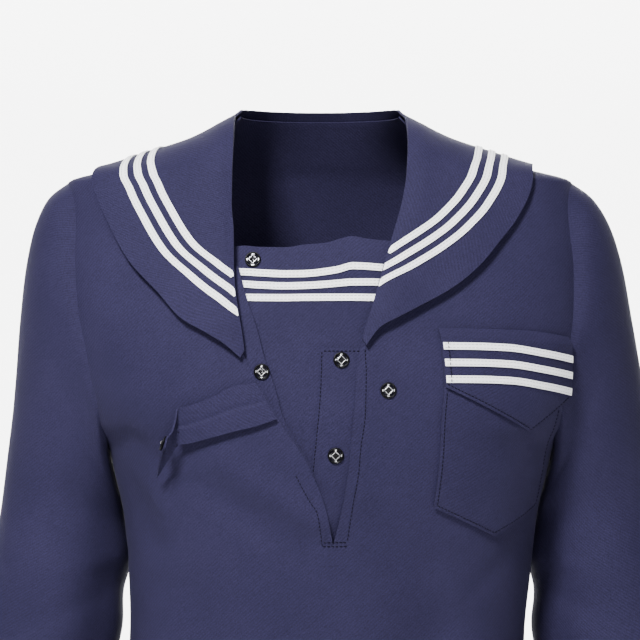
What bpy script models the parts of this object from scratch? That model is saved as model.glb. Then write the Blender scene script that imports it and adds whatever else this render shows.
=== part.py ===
# A sailor jumper in worn form: navy twill walls through measured sections, a square
# sailor collar with three tapes, a chest panel behind the V, an underlap with press
# studs, a scarf tab folded back, and a pointed pocket with a pointed flap.
# The origin lies between the two neck points, where the wearer's shoulders hold it.
# +X is the wearer's left, the front faces -Y and +Z is up. Tables are in millimetres.

import math
from bisect import bisect_right
from collections import namedtuple

import bpy
from mathutils import Vector

for old in list(bpy.data.objects):
    bpy.data.objects.remove(old)

MM = 0.001

# Cloth sizes
CLOTH = 1.2
COLLAR_CLOTH = 2.0
TAB_CLOTH = 1.6
TAPE_CLOTH = 1.0
TAPE_WIDTH = 5.2
TAPE_LEAST_END = 3.0
TAPE_PITCH = 10.0
SEAM_HALF_GAP = 0.2
SLEEVE_GAP = 0.45
SQUARENESS = 2.3

# How far each layer's outer face stands off the outer face of the front
FACING_LIFT = -2.2
UNDERLAP_LIFT = -3.9
CHEST_LIFT = -5.6
CHEST_TAPE_LIFT = CHEST_LIFT + TAPE_CLOTH + 0.4
POCKET_LIFT = 1.6 + CLOTH
FLAP_LIFT = POCKET_LIFT + 1.3 + CLOTH
FLAP_TAPE_LIFT = FLAP_LIFT + TAPE_CLOTH + 0.4
COLLAR_TAPE_RISE = TAPE_CLOTH + 0.4

# Level sections of the trunk, from the neck to the hem
Section = namedtuple("Section", "height half_width front back middle")
TRUNK = (
    Section(24, 59, 46, 58, 0),
    Section(14, 61, 49, 60, 0),
    Section(3, 71, 54, 66, 0),
    Section(-11, 99, 60, 74, 0),
    Section(-22, 133, 65, 80, 0),
    Section(-31, 162, 69, 85, 0),
    Section(-41, 197, 73, 89, 0),
    Section(-70, 205, 85, 98, 1.5),
    Section(-110, 208, 99, 106, 3.5),
    Section(-150, 207, 110, 110, 5),
    Section(-198, 200, 119, 109, 7),
    Section(-228, 187, 121, 106, 8),
    Section(-243, 176, 121, 104, 8),
    Section(-270, 169, 119, 99, 8),
    Section(-300, 162, 115, 93, 8),
    Section(-345, 157.5, 109, 86, 7.5),
    Section(-395, 154.5, 105, 83, 5.5),
    Section(-450, 155, 106, 88, 4),
    Section(-520, 159, 110, 98, 2),
    Section(-600, 165, 114, 106, 0),
)

# The armhole: how far it reaches to the front and to the back at each height
Armhole = namedtuple("Armhole", "height front back")
ARMHOLE = (
    Armhole(-41, 0, 0),
    Armhole(-46, 22, 20),
    Armhole(-61, 35, 31),
    Armhole(-84, 42, 37),
    Armhole(-112, 47, 41),
    Armhole(-144, 53, 45),
    Armhole(-176, 59.5, 48.5),
    Armhole(-205, 60, 49.5),
    Armhole(-228, 49, 42),
    Armhole(-243, 28, 25),
    Armhole(-248, 0, 0),
)

# The front's neck edges and, below the V, the edges of its slit
Opening = namedtuple("Opening", "height right left")
OPENING = (
    Opening(3, -68, 68.5),
    Opening(-20, -70.5, 70.5),
    Opening(-43, -70.5, 69.5),
    Opening(-62, -70, 66),
    Opening(-80, -68.5, 61),
    Opening(-100, -67.5, 55),
    Opening(-120, -67, 49),
    Opening(-148, -63, 40.5),
    Opening(-177, -56, 28),
    Opening(-207, -39.5, 26),
    Opening(-223, -30.6, 24.7),
    Opening(-258, -8, 21.5),
    Opening(-295, 5.9, 15),
    Opening(-316, 9.6, 9.6),
)
SLIT_END = -316
NECK_ROWS = (11,)
SHOULDER_ROWS = (3, -3, -9, -15, -22, -31)
BODY_ROWS = (-262, -279, -297, -316, -338, -362, -388, -416, -446, -478, -510, -542, -573, -600)
FRONT_CELLS = 10
BACK_CELLS = 14

# Troughs (negative rise) and ridges of the worn cloth, as segments on the front or back
Fold = namedtuple("Fold", "side x z to_x to_z width rise")
FOLDS = (
    Fold("front", -70, -256, 2, -300, 11, 3.2),
    Fold("front", -88, -270, -16, -316, 12, -3.4),
    Fold("front", -150, -248, -128, -318, 11, -2.6),
    Fold("front", 40, -300, 92, -372, 16, -2.4),
    Fold("front", -96, -356, -62, -470, 18, -3.2),
    Fold("front", -20, -372, -4, -560, 22, 3.0),
    Fold("front", 74, -392, 62, -560, 20, -3.0),
    Fold("front", 122, -400, 128, -590, 16, 2.6),
    Fold("front", -128, -430, -132, -590, 16, 2.8),
    Fold("front", -72, -500, -66, -600, 18, 3.0),
    Fold("back", -120, -262, -40, -330, 15, -3.4),
    Fold("back", 124, -258, 36, -336, 15, -3.2),
    Fold("back", -96, -300, -30, -352, 12, 2.6),
    Fold("back", 98, -306, 40, -366, 12, 2.8),
    Fold("back", -84, -400, -90, -590, 20, 3.2),
    Fold("back", 6, -388, -4, -580, 24, -3.0),
    Fold("back", 88, -410, 96, -596, 20, 3.0),
)

# Rings of a sleeve below its armhole, for the wearer's left: its outer and inner lines
Ring = namedtuple("Ring", "outer_x outer_z inner_x inner_z middle_y half_depth")
ARMHOLE_RING = Ring(197, -41, 174.6, -248, -5.5, 55)
SLEEVE = (
    Ring(212, -52, 175.4, -256, -3, 56),
    Ring(225, -74, 173.4, -266, 2, 57),
    Ring(235, -108, 169.8, -279, 9, 58),
    Ring(242, -150, 165.6, -293, 16, 58),
    Ring(249, -200, 161.4, -310, 22, 58),
    Ring(256, -252, 158.6, -330, 26, 57),
    Ring(263, -303, 157.6, -352, 27, 56),
    Ring(271, -352, 159.5, -380, 26, 56),
    Ring(279, -402, 166, -414, 24, 56),
    Ring(287, -452, 178, -458, 20, 56),
    Ring(295, -502, 191, -505, 14, 56),
    Ring(302, -548, 204, -552, 9, 56),
    Ring(307, -586, 215, -592, 4, 57),
    Ring(310, -612, 222, -620, 2, 57),
)
BLEND_RINGS = 4

# Troughs round a sleeve: the ring and the turn where each is deepest, in rings and degrees
Crease = namedtuple("Crease", "ring turn slant rings_wide degrees_wide rise")
CREASES = (
    Crease(5.2, -150, 0.012, 0.7, 60, -4.0),
    Crease(6.4, -60, 0.010, 0.6, 55, -3.0),
    Crease(7.6, 170, -0.010, 0.7, 70, -5.0),
    Crease(8.6, 100, 0.008, 0.7, 60, -3.5),
    Crease(9.6, -130, -0.012, 0.6, 60, -4.0),
    Crease(11.0, 60, 0.010, 0.7, 60, -3.0),
    Crease(12.0, -40, 0.010, 0.7, 55, -3.0),
)

# Front stations of the collar on each side, from the V up to the shoulder ridge. The
# lift is the outer face's height over the front at the edge, the tape is the distance
# from the edge to the outermost tape.
Station = namedtuple("Station", "edge_x edge_z neck_x neck_z lift tape")
COLLAR_RIGHT = (
    Station(-58.5, -177.5, -55.6, -172, 4.5, 25.5),
    Station(-71, -167.2, -57.3, -159, 5.5, 25.5),
    Station(-86.4, -157.9, -60.2, -142, 6.5, 25.5),
    Station(-101.8, -149, -63, -122, 7, 27),
    Station(-120, -129, -64, -104, 7, 24.5),
    Station(-141.6, -105.9, -64.4, -84, 6.5, 24),
    Station(-157, -80, -66.2, -62, 6, 24),
    Station(-168, -57, -66.2, -41, 5.5, 23.5),
    Station(-173.2, -41, -65.4, -18, 5, 22),
)
COLLAR_LEFT = (
    Station(34, -168.5, 31.2, -163, 4.5, 30),
    Station(44.3, -155.5, 34.5, -151, 5.5, 30),
    Station(58, -148, 39, -138, 6.5, 30),
    Station(76, -138.6, 44, -120, 7, 32),
    Station(97.7, -126.4, 50, -100, 7, 31),
    Station(118, -109.8, 57, -77, 6.5, 27.5),
    Station(134, -91, 62, -59, 6, 23.5),
    Station(148.5, -72, 65.4, -37, 5.5, 22),
    Station(160.5, -46, 66.4, -14, 5, 21.5),
)

# Stations over the shoulder and down the back flap, for the wearer's left. The bend is
# where the tapes' zone ends, and a height above the cloth there means its ridge.
BackStation = namedtuple("BackStation", "edge_x edge_z bend_x bend_z neck_x neck_z")
RIDGE = 40
SHOULDER = BackStation(166, RIDGE, 106, RIDGE, 64, RIDGE)
FLAP_SIDE = (
    BackStation(167, -46, 107, -25, 60.5, 14),
    BackStation(166, -77, 106, -48, 57, 17),
    BackStation(164, -111, 104, -76, 53, 17.5),
    BackStation(161, -145, 101, -103, 48, 18),
    BackStation(158.5, -178, 98.5, -127, 43, 18),
)
FLAP_CORNER = BackStation(156, -210, 96, -150, 37, 18)
FLAP_BOTTOM = (
    BackStation(117, -211, 72, -151, 28, 18),
    BackStation(78, -212, 48, -152, 19, 18),
    BackStation(39, -212, 24, -152, 9.5, 18),
    BackStation(0, -212, 0, -152, 0, 18),
)
TAPE_ZONE = 60.0
FRONT_SKEW = 1.08
BACK_TAPE = 20.0
BACK_LIFT = 5.0
NECK_CELLS = 5
COLUMN_LEAST_SHARE = 0.04
ROLL_WIDTH = 7.0
ROLL_DROP = 1.0
COLLAR_LEAST_LIFT = 5.2
COLLAR_SWELL = 2.2

# The chest panel's top edge and its three tapes across it
ChestLine = namedtuple("ChestLine", "x top first second third")
CHEST = (
    ChestLine(-80, -95, -110.4, -119.4, -129.9),
    ChestLine(-57.4, -91.2, -111.5, -120.7, -130.8),
    ChestLine(-45.7, -92.2, -112.2, -121.5, -131),
    ChestLine(-26.8, -92.5, -113.1, -122.2, -131.1),
    ChestLine(-12, -90.5, -112.9, -121.9, -130.9),
    ChestLine(4.7, -89, -111.2, -120.9, -130.8),
    ChestLine(14, -86.2, -109.6, -120.1, -130.8),
    ChestLine(24.8, -83.9, -106.9, -119.3, -130.8),
    ChestLine(36.3, -85.9, -107.4, -119.2, -130.9),
    ChestLine(54.2, -87.4, -108.8, -119.7, -131.3),
    ChestLine(72, -88, -109.4, -119.9, -131.5),
)
CHEST_BOTTOM = -272
CHEST_NARROWING = 0.55

# The turned edge that shows inside the slit, and the underlap behind it
Strip = namedtuple("Strip", "height right left")
FACING = (
    Strip(-108, -76, -61.5),
    Strip(-132, -73, -54.9),
    Strip(-153.5, -70, -47.6),
    Strip(-177.5, -66, -41.1),
    Strip(-195, -56, -34.8),
    Strip(-223, -40, -26.6),
    Strip(-241, -28, -17),
    Strip(-258, -18, -6.6),
    Strip(-268, -15, -3),
)
UNDERLAP = (
    Strip(-169, 0.4, 43),
    Strip(-188, 0, 42),
    Strip(-208, -1, 41),
    Strip(-230, -3, 39),
    Strip(-252, -5.2, 37),
    Strip(-276, -7, 33),
    Strip(-300, -6, 28),
    Strip(-322, -4, 24),
)

# The pocket and its flap: the inner edge's line, then the top and bottom along the cloth
InnerEdge = namedtuple("InnerEdge", "height x")
POCKET_EDGE = (
    InnerEdge(-312, 82),
    InnerEdge(-288, 84),
    InnerEdge(-264, 86.9),
    InnerEdge(-249, 88.3),
    InnerEdge(-223, 89.7),
    InnerEdge(-198, 91.6),
    InnerEdge(-166, 89.3),
)
FLAP_EDGE = (
    InnerEdge(-234, 94),
    InnerEdge(-199, 92),
    InnerEdge(-166, 89.3),
    InnerEdge(-154, 87),
)
Outline = namedtuple("Outline", "along top bottom")
POCKET = (
    Outline(0, -163, -288),
    Outline(53, -163, -311.4),
    Outline(106, -165, -291),
)
FLAP = (
    Outline(0, -155, -199),
    Outline(69, -157, -232),
    Outline(111, -162, -207),
)
FlapTape = namedtuple("FlapTape", "along height")
FLAP_TAPE = (
    FlapTape(0.8, -169.3),
    FlapTape(25, -169.5),
    FlapTape(50, -170.4),
    FlapTape(80, -174.4),
    FlapTape(110, -178.9),
)
FLAP_TAPE_STEP = 12.0

# The scarf tab, from the slit's edge to its free end: both edges and their lifts
TabLine = namedtuple("TabLine", "top_x top_z top_lift low_x low_z low_lift")
SCARF_TAB = (
    TabLine(-47.2, -195.5, 2.3, -31.6, -222.2, 2.3),
    TabLine(-58.4, -197.1, 3.2, -46.4, -227.2, 3.0),
    TabLine(-66.3, -199.4, 4.0, -61.3, -230.8, 3.8),
    TabLine(-76.4, -205, 4.6, -76.4, -234.9, 4.6),
    TabLine(-86.4, -209.2, 5.0, -88, -238, 5.2),
    TabLine(-96.5, -212.7, 6.0, -97, -240, 6.4),
    TabLine(-102.6, -214.7, 8.0, -102.3, -239.8, 8.0),
    TabLine(-102.4, -222.1, 11.5, -103.3, -243.1, 8.6),
    TabLine(-102.6, -228.9, 16.0, -107.0, -249.2, 8.5),
    TabLine(-105.0, -233.0, 19.5, -112.2, -257.6, 8.3),
    TabLine(-104.8, -239.3, 22.0, -117.3, -266.0, 8.0),
)
TAB_CELLS = 4

# Press studs: where they lie and on which layer
Stud = namedtuple("Stud", "name x z lift kind")
STUDS = (
    Stud("stud_chest", -50.8, -102, CHEST_LIFT, "ball"),
    Stud("stud_facing", -43.4, -187.1, FACING_LIFT, "ball"),
    Stud("stud_underlap_top", 15.9, -178, UNDERLAP_LIFT, "socket"),
    Stud("stud_underlap_low", 11.7, -249.6, UNDERLAP_LIFT, "socket"),
    Stud("stud_front", 50.6, -201.1, 0.0, "socket"),
)
Turn = namedtuple("Turn", "radius rise")
STUD_PROFILE = {
    "socket": (Turn(6.0, 0.0), Turn(6.0, 0.9), Turn(4.2, 1.3), Turn(3.4, 2.1), Turn(1.7, 2.1), Turn(1.2, 1.2)),
    "ball": (Turn(6.0, 0.0), Turn(6.0, 0.9), Turn(3.6, 1.2), Turn(1.8, 1.5), Turn(1.7, 2.8), Turn(0.9, 3.2)),
}
STUD_SIDES = 14
STUD_GAP = 0.3
TAB_STUD_GAP = 1.6
TAB_STUD_INSET = 7.5


# Curves through the columns of a table
def curve_through(places, values):
    """A smooth curve that never swings past the values it passes through."""
    pairs = sorted(zip(places, values))
    xs = [pair[0] for pair in pairs]
    ys = [pair[1] for pair in pairs]
    steps = [b - a for a, b in zip(xs, xs[1:])]
    rates = [(b - a) / step for a, b, step in zip(ys, ys[1:], steps)]
    slopes = [rates[0]]
    for i in range(1, len(xs) - 1):
        if rates[i - 1] * rates[i] <= 0:
            slopes.append(0.0)
            continue
        before = 2 * steps[i] + steps[i - 1]
        after = steps[i] + 2 * steps[i - 1]
        slopes.append((before + after) / (before / rates[i - 1] + after / rates[i]))
    slopes.append(rates[-1])

    def value(x):
        if x <= xs[0]:
            return ys[0] + slopes[0] * (x - xs[0])
        if x >= xs[-1]:
            return ys[-1] + slopes[-1] * (x - xs[-1])
        i = bisect_right(xs, x) - 1
        t = (x - xs[i]) / steps[i]
        start = (1 + 2 * t) * (1 - t) ** 2 * ys[i] + t * (1 - t) ** 2 * steps[i] * slopes[i]
        end = t * t * (3 - 2 * t) * ys[i + 1] + t * t * (t - 1) * steps[i] * slopes[i + 1]
        return start + end

    return value


def column(table, place, name):
    return curve_through([getattr(row, place) for row in table], [getattr(row, name) for row in table])


half_width = column(TRUNK, "height", "half_width")
front_depth = column(TRUNK, "height", "front")
back_depth = column(TRUNK, "height", "back")
middle = column(TRUNK, "height", "middle")
opening_right = column(OPENING, "height", "right")
opening_left = column(OPENING, "height", "left")


# The trunk's form. A turn of 0 is the wearer's left side, a quarter turn the front.
def bare_form(turn, height):
    depth = front_depth(height) if math.sin(turn) >= 0 else back_depth(height)
    across = math.copysign(abs(math.cos(turn)) ** (2 / SQUARENESS), math.cos(turn))
    out = abs(math.sin(turn)) ** (2 / SQUARENESS) * depth
    x = middle(height) + half_width(height) * across
    return Vector((x, -out if math.sin(turn) >= 0 else out, height))


def form_normal(turn, height):
    round_it = bare_form(turn + 0.04, height) - bare_form(turn - 0.04, height)
    down_it = bare_form(turn, height - 1.5) - bare_form(turn, height + 1.5)
    return round_it.cross(down_it).normalized()


def fold_rise(side, x, height):
    rise = 0.0
    for fold in FOLDS:
        if fold.side != side:
            continue
        run_x = fold.to_x - fold.x
        run_z = fold.to_z - fold.z
        share = ((x - fold.x) * run_x + (height - fold.z) * run_z) / (run_x ** 2 + run_z ** 2)
        share = min(1.0, max(0.0, share))
        off = math.hypot(x - fold.x - share * run_x, height - fold.z - share * run_z)
        rise += fold.rise * math.exp(-((off / fold.width) ** 2))
    return rise


def form(turn, height, lift):
    """The point at this turn and height, and the cloth's direction outward there."""
    point = bare_form(turn, height)
    normal = form_normal(turn, height)
    side = "front" if math.sin(turn) >= 0 else "back"
    return point + normal * (lift + fold_rise(side, point.x, height)), normal


def turn_at_x(x, height):
    across = (x - middle(height)) / half_width(height)
    return math.acos(max(-1.0, min(1.0, math.copysign(abs(across) ** (SQUARENESS / 2), across))))


def turn_at_depth(reach, depth):
    """How far round from the side seam the form reaches this far forward or back."""
    return math.asin((max(reach, SEAM_HALF_GAP) / depth) ** (SQUARENESS / 2))


def front_point(x, height, lift):
    return form(turn_at_x(x, height), height, lift)


# Walls: a sheet of points and cells, moved inward by the cloth's thickness and closed
def wall(name, points, normals, cells, thickness, material):
    points = [Vector(point) for point in points]
    if normals is None:
        normals = sheet_normals(points, cells)
    inner = [point - normal * thickness for point, normal in zip(points, normals)]
    count = len(points)
    faces = [tuple(cell) for cell in cells]
    faces += [tuple(count + i for i in (cell[0], *cell[:0:-1])) for cell in cells]
    edges = {}
    for cell in cells:
        for a, b in zip(cell, cell[1:] + cell[:1]):
            edges[(a, b)] = edges.get((a, b), 0) + 1
    for a, b in edges:
        if (b, a) not in edges:
            faces.append((b, a, a + count, b + count))
    return solid(name, points + inner, faces, material)


def sheet_normals(points, cells):
    sums = [Vector() for _ in points]
    for cell in cells:
        corners = [points[i] for i in cell]
        area = (corners[2] - corners[0]).cross(corners[-1] - corners[1])
        for i in cell:
            sums[i] += area
    return [total.normalized() for total in sums]


def solid(name, points, faces, material):
    triangles = [(face[0], b, c) for face in faces for b, c in zip(face[1:], face[2:])]
    volume = sum(points[a].dot(points[b].cross(points[c])) for a, b, c in triangles)
    if volume < 0:
        triangles = [(a, c, b) for a, b, c in triangles]
    mesh = bpy.data.meshes.new(name)
    mesh.from_pydata([tuple(point * MM) for point in points], [], triangles)
    mesh.materials.append(material)
    part = bpy.data.objects.new(name, mesh)
    bpy.context.scene.collection.objects.link(part)
    return part


def grid_cells(rows, columns, closed=False):
    """Cells between rows of points. A closed grid joins each row's end to its start."""
    wide = columns if closed else columns - 1
    return [
        (
            row * columns + i,
            row * columns + (i + 1) % columns,
            (row + 1) * columns + (i + 1) % columns,
            (row + 1) * columns + i,
        )
        for row in range(rows - 1)
        for i in range(wide)
    ]


def grid_wall(name, rows, thickness, material):
    """A wall through rows of (point, outward direction) pairs."""
    points = [point for row in rows for point, _ in row]
    normals = [normal for row in rows for _, normal in row]
    return wall(name, points, normals, grid_cells(len(rows), len(rows[0])), thickness, material)


# Materials
def material(name, colour, roughness, metallic=0.0):
    made = bpy.data.materials.new(name)
    made.use_nodes = True
    shader = made.node_tree.nodes["Principled BSDF"]
    shader.inputs["Base Color"].default_value = (*colour, 1.0)
    shader.inputs["Roughness"].default_value = roughness
    shader.inputs["Metallic"].default_value = metallic
    made.diffuse_color = (*colour, 1.0)
    return made


def navy_twill():
    return material("navy_twill", (0.045, 0.047, 0.125), 0.85)


def white_tape():
    return material("white_tape", (0.78, 0.78, 0.8), 0.8)


def black_metal():
    return material("black_metal", (0.02, 0.02, 0.024), 0.35, 0.9)


# Front and back
def side_turn(height, reach, depth):
    return turn_at_depth(reach, depth(height))


def panel_heights(top_rows):
    return list(top_rows) + [row.height for row in ARMHOLE] + list(BODY_ROWS)


def armhole_reach(height, side):
    for row in ARMHOLE:
        if row.height == height:
            return getattr(row, side)
    return 0.0


def between(start, end, cells):
    return [start + (end - start) * i / cells for i in range(cells + 1)]


def front(cloth):
    points = []
    normals = []
    cells = []
    last = None
    for height in panel_heights(SHOULDER_ROWS):
        side = side_turn(height, armhole_reach(height, "front"), front_depth)
        right_edge = opening_right(max(height, SLIT_END))
        left_edge = opening_left(max(height, SLIT_END))
        right = between(math.pi - side, turn_at_x(right_edge, height), FRONT_CELLS)
        left = between(turn_at_x(left_edge, height), side, FRONT_CELLS)
        joined = height <= SLIT_END
        turns = right + (left[1:] if joined else left)
        start = len(points)
        for turn in turns:
            point, normal = form(turn, height, 0.0)
            points.append(point)
            normals.append(normal)
        right_row = [start + i for i in range(FRONT_CELLS + 1)]
        left_start = start + FRONT_CELLS + (0 if joined else 1)
        left_row = [left_start + i for i in range(FRONT_CELLS + 1)]
        if last:
            for above, below in ((last[0], right_row), (last[1], left_row)):
                for i in range(FRONT_CELLS):
                    cells.append((above[i], above[i + 1], below[i + 1], below[i]))
        last = (right_row, left_row)
    return wall("front", points, normals, cells, CLOTH, cloth)


def back(cloth):
    rows = []
    for height in panel_heights(NECK_ROWS + SHOULDER_ROWS):
        side = side_turn(height, armhole_reach(height, "back"), back_depth)
        turns = between(-side, side - math.pi, BACK_CELLS)
        rows.append([form(turn, height, 0.0) for turn in turns])
    return grid_wall("back", rows, CLOTH, cloth)


# Sleeves: rings that start on the armhole's own points
def ring_point(ring, turn):
    middle_x = (ring.outer_x + ring.inner_x) / 2
    middle_z = (ring.outer_z + ring.inner_z) / 2
    x = middle_x + (ring.outer_x - ring.inner_x) / 2 * math.cos(turn)
    z = middle_z + (ring.outer_z - ring.inner_z) / 2 * math.cos(turn)
    return Vector((x, ring.middle_y + ring.half_depth * math.sin(turn), z))


def armhole_loop(hand):
    """The armhole's points down the front and up the back, for the hand 1 (left) or -1."""
    turns = [(row.height, side_turn(row.height, row.front, front_depth)) for row in ARMHOLE[1:-1]]
    turns += [(ARMHOLE[-1].height, 0.0)]
    turns += [(row.height, -side_turn(row.height, row.back, back_depth)) for row in ARMHOLE[-2:0:-1]]
    loop = []
    for height, turn in [(ARMHOLE[0].height, 0.0)] + turns:
        loop.append(form(turn if hand > 0 else math.pi - turn, height, 0.0))
    return loop


def crease_rise(ring, degrees):
    rise = 0.0
    for crease in CREASES:
        off = (degrees - crease.turn + 180) % 360 - 180
        along = (ring - crease.ring - crease.slant * off) / crease.rings_wide
        rise += crease.rise * math.exp(-along * along - (off / crease.degrees_wide) ** 2)
    return rise


def sleeve(name, side, cloth):
    loop = armhole_loop(side)
    count = len(loop)
    turns = [-2 * math.pi * i / count for i in range(count)]
    first = []
    for (point, normal), turn in zip(loop, turns):
        along = (ring_point(SLEEVE[0], turn) - ring_point(ARMHOLE_RING, turn)).normalized()
        local = Vector((side * (point.x - middle(point.z)), point.y, point.z))
        outward = Vector((side * normal.x, normal.y, normal.z))
        first.append(local + (along + outward) * SLEEVE_GAP)
    points = list(first)
    for number, ring in enumerate(SLEEVE, 1):
        centre = (ring_point(ring, 0.0) + ring_point(ring, math.pi)) / 2
        share = max(0.0, 1.0 - number / BLEND_RINGS)
        for i, turn in enumerate(turns):
            point = ring_point(ring, turn) + (first[i] - ring_point(ARMHOLE_RING, turn)) * share
            rise = crease_rise(number, math.degrees(turn))
            points.append(point + (point - centre).normalized() * rise)
    worn = [Vector((side * p.x + middle(p.z), p.y, p.z)) for p in points]
    cells = grid_cells(len(SLEEVE) + 1, count, closed=True)
    if side < 0:
        cells = [tuple(reversed(cell)) for cell in cells]
    outward = (worn[0] - sum(worn[:count], Vector()) / count).dot(sheet_normals(worn, cells)[0])
    if outward < 0:
        cells = [tuple(reversed(cell)) for cell in cells]
    return wall(name, worn, None, cells, CLOTH, cloth)


# Lines down the cloth at one x. A fall is the length of cloth below this level.
FALL_LEVEL = -60.0
SLICE_STEPS = 90
SLICE_DEPTH = 330.0
slices = {}


def ridge_height(x):
    low, high = ARMHOLE[0].height, TRUNK[0].height
    if abs(x - middle(high)) <= half_width(high):
        return high
    for _ in range(40):
        guess = (low + high) / 2
        if abs(x - middle(guess)) > half_width(guess):
            high = guess
        else:
            low = guess
    return low


def slice_at(x, behind):
    """Falls, depths and heights down the form at this x, kept for the next call."""
    key = (round(x, 3), behind)
    if key not in slices:
        top = ridge_height(x)
        depth = back_depth if behind else front_depth
        found = []
        length = 0.0
        for step in range(SLICE_STEPS + 1):
            height = top - SLICE_DEPTH * (step / SLICE_STEPS) ** 2
            across = min(1.0, abs(x - middle(height)) / half_width(height))
            y = depth(height) * (1 - across ** SQUARENESS) ** (1 / SQUARENESS)
            y = y if behind else -y
            if found:
                length += math.hypot(y - found[-1][1], height - found[-1][2])
            found.append((length, y, height))
        level = length_at(found, FALL_LEVEL)
        slices[key] = [(length - level, y, height) for length, y, height in found]
    return slices[key]


def length_at(found, height):
    for (a, _, top), (b, _, low) in zip(found, found[1:]):
        if height >= low:
            return a + (b - a) * max(0.0, top - height) / (top - low)
    return found[-1][0]


def spread(x, height, behind):
    """A place on the cloth as its x and its fall."""
    return Vector((x, length_at(slice_at(x, behind), height)))


def draped(place, behind):
    found = slice_at(place.x, behind)
    i = bisect_right(found, (place.y, math.inf)) - 1
    i = min(max(0, i), len(found) - 2)
    start, end = found[i], found[i + 1]
    share = max(0.0, (place.y - start[0]) / (end[0] - start[0]))
    y = start[1] + (end[1] - start[1]) * share
    height = start[2] + (end[2] - start[2]) * share
    turn = turn_at_x(place.x, height)
    return Vector((place.x, y, height)), form_normal(-turn if behind else turn, height)


# Collar
Path = namedtuple("Path", "edge bend neck lift tape behind")


def front_path(row):
    edge = spread(row.edge_x, row.edge_z, False)
    neck = spread(row.neck_x, row.neck_z, False)
    bend = edge + (neck - edge).normalized() * TAPE_ZONE * FRONT_SKEW
    return Path(edge, bend, neck, row.lift, row.tape / FRONT_SKEW, False)


def back_path(row, hand, behind=True):
    edge = spread(hand * row.edge_x, row.edge_z, behind)
    bend = spread(hand * row.bend_x, row.bend_z, behind)
    neck = spread(hand * row.neck_x, row.neck_z, behind)
    return Path(edge, bend, neck, BACK_LIFT, BACK_TAPE, behind)


def halved(paths):
    """The paths with one more between each two."""
    found = [paths[0]]
    for a, b in zip(paths, paths[1:]):
        values = [(u + v) / 2 for u, v in zip(a[:-1], b[:-1])]
        found.append(Path(*values, a.behind))
        found.append(b)
    return found


def side_paths(table, hand):
    """Paths of one side of the collar, from the V over the shoulder to the flap's corner."""
    before = [front_path(row) for row in table]
    before += halved(halved([before[-1], back_path(SHOULDER, hand, False)]))[1:]
    behind = [back_path(row, hand) for row in (SHOULDER, *FLAP_SIDE, FLAP_CORNER)]
    return before + halved(halved(behind[:2]))[1:] + halved(behind[1:])[1:]


def collar_paths():
    """Paths across the collar, from the V's right end round the back to its left end."""
    right = side_paths(COLLAR_RIGHT, -1)
    left = side_paths(COLLAR_LEFT, 1)
    bottom = [back_path(row, -1) for row in FLAP_BOTTOM]
    bottom += [back_path(row, 1) for row in reversed(FLAP_BOTTOM[:-1])]
    return right + halved([right[-1], *bottom, left[-1]])[1:-1] + left[::-1]


def path_length(path):
    """The inset of the path's neck end, in the tapes' measure."""
    zone = (path.bend - path.edge).length
    if (path.neck - path.edge).length < zone:
        return TAPE_ZONE * (path.neck - path.edge).length / zone
    return TAPE_ZONE + (path.neck - path.bend).length


def collar_point(path, inset, rise):
    """The collar's outer face at this inset from its edge, moved out by a rise."""
    whole = path_length(path)
    if inset <= TAPE_ZONE:
        place = path.edge + (path.bend - path.edge) * inset / TAPE_ZONE
    else:
        place = path.bend + (path.neck - path.bend).normalized() * (inset - TAPE_ZONE)
    point, normal = draped(place, path.behind)
    from_roll = whole - inset
    lift = COLLAR_LEAST_LIFT + (path.lift - COLLAR_LEAST_LIFT) * math.exp(-((inset / 30) ** 2))
    lift += COLLAR_SWELL * min(1.0, from_roll / 14) * math.exp(-((from_roll / 26) ** 2))
    lift -= ROLL_DROP * max(0.0, 1 - from_roll / ROLL_WIDTH)
    return point + normal * (lift + rise), normal


def tape_insets(path, number):
    start = path.tape + TAPE_PITCH * number
    return start, start + TAPE_WIDTH


def collar_insets(path):
    """Insets of the collar's columns: its edge, both edges of each tape, then to the roll."""
    whole = path_length(path)
    insets = [0.0]
    for number in range(3):
        insets += tape_insets(path, number)
    last = insets[-1]
    insets += [last + (whole - last) * i / NECK_CELLS for i in range(1, NECK_CELLS + 1)]
    count = len(insets) - 1
    least = whole * COLUMN_LEAST_SHARE
    fitted = [min(inset, whole - (count - i) * least) for i, inset in enumerate(insets)]
    return fitted[:-1] + [whole]


def collar(cloth):
    rows = [[collar_point(path, inset, 0.0) for inset in collar_insets(path)] for path in collar_paths()]
    return grid_wall("collar", rows, COLLAR_CLOTH, cloth)


def collar_tape(number, cloth):
    rows = []
    for path in collar_paths():
        start, end = collar_insets(path)[2 * number + 1 : 2 * number + 3]
        if end - start > TAPE_LEAST_END:
            rows.append([collar_point(path, inset, COLLAR_TAPE_RISE) for inset in (start, end)])
    return grid_wall(f"collar_tape_{number + 1}", rows, TAPE_CLOTH, cloth)


# Chest panel behind the V
def chest_panel(cloth):
    top = column(CHEST, "x", "top")
    xs = [row.x for row in CHEST]
    rows = []
    for share in between(0.0, 1.0, 7):
        row = []
        for x in xs:
            height = top(x) + (CHEST_BOTTOM - top(x)) * share
            row.append(front_point(x * (1 - (1 - CHEST_NARROWING) * share), height, CHEST_LIFT))
        rows.append(row)
    return grid_wall("chest_panel", rows, CLOTH, cloth)


def chest_tape(number, name, cloth):
    rows = []
    for edge in (TAPE_WIDTH / 2, -TAPE_WIDTH / 2):
        row = []
        for line in CHEST:
            x = line.x * 0.94
            row.append(front_point(x, getattr(line, name) + edge, CHEST_TAPE_LIFT))
        rows.append(row)
    return grid_wall(f"chest_tape_{number}", rows, TAPE_CLOTH, cloth)


# Strips inside the slit
def strip(name, table, lift, cells, cloth):
    rows = []
    for line in table:
        xs = between(line.right, line.left, cells)
        rows.append([front_point(x, line.height, lift) for x in xs])
    return grid_wall(name, rows, CLOTH, cloth)


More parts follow.
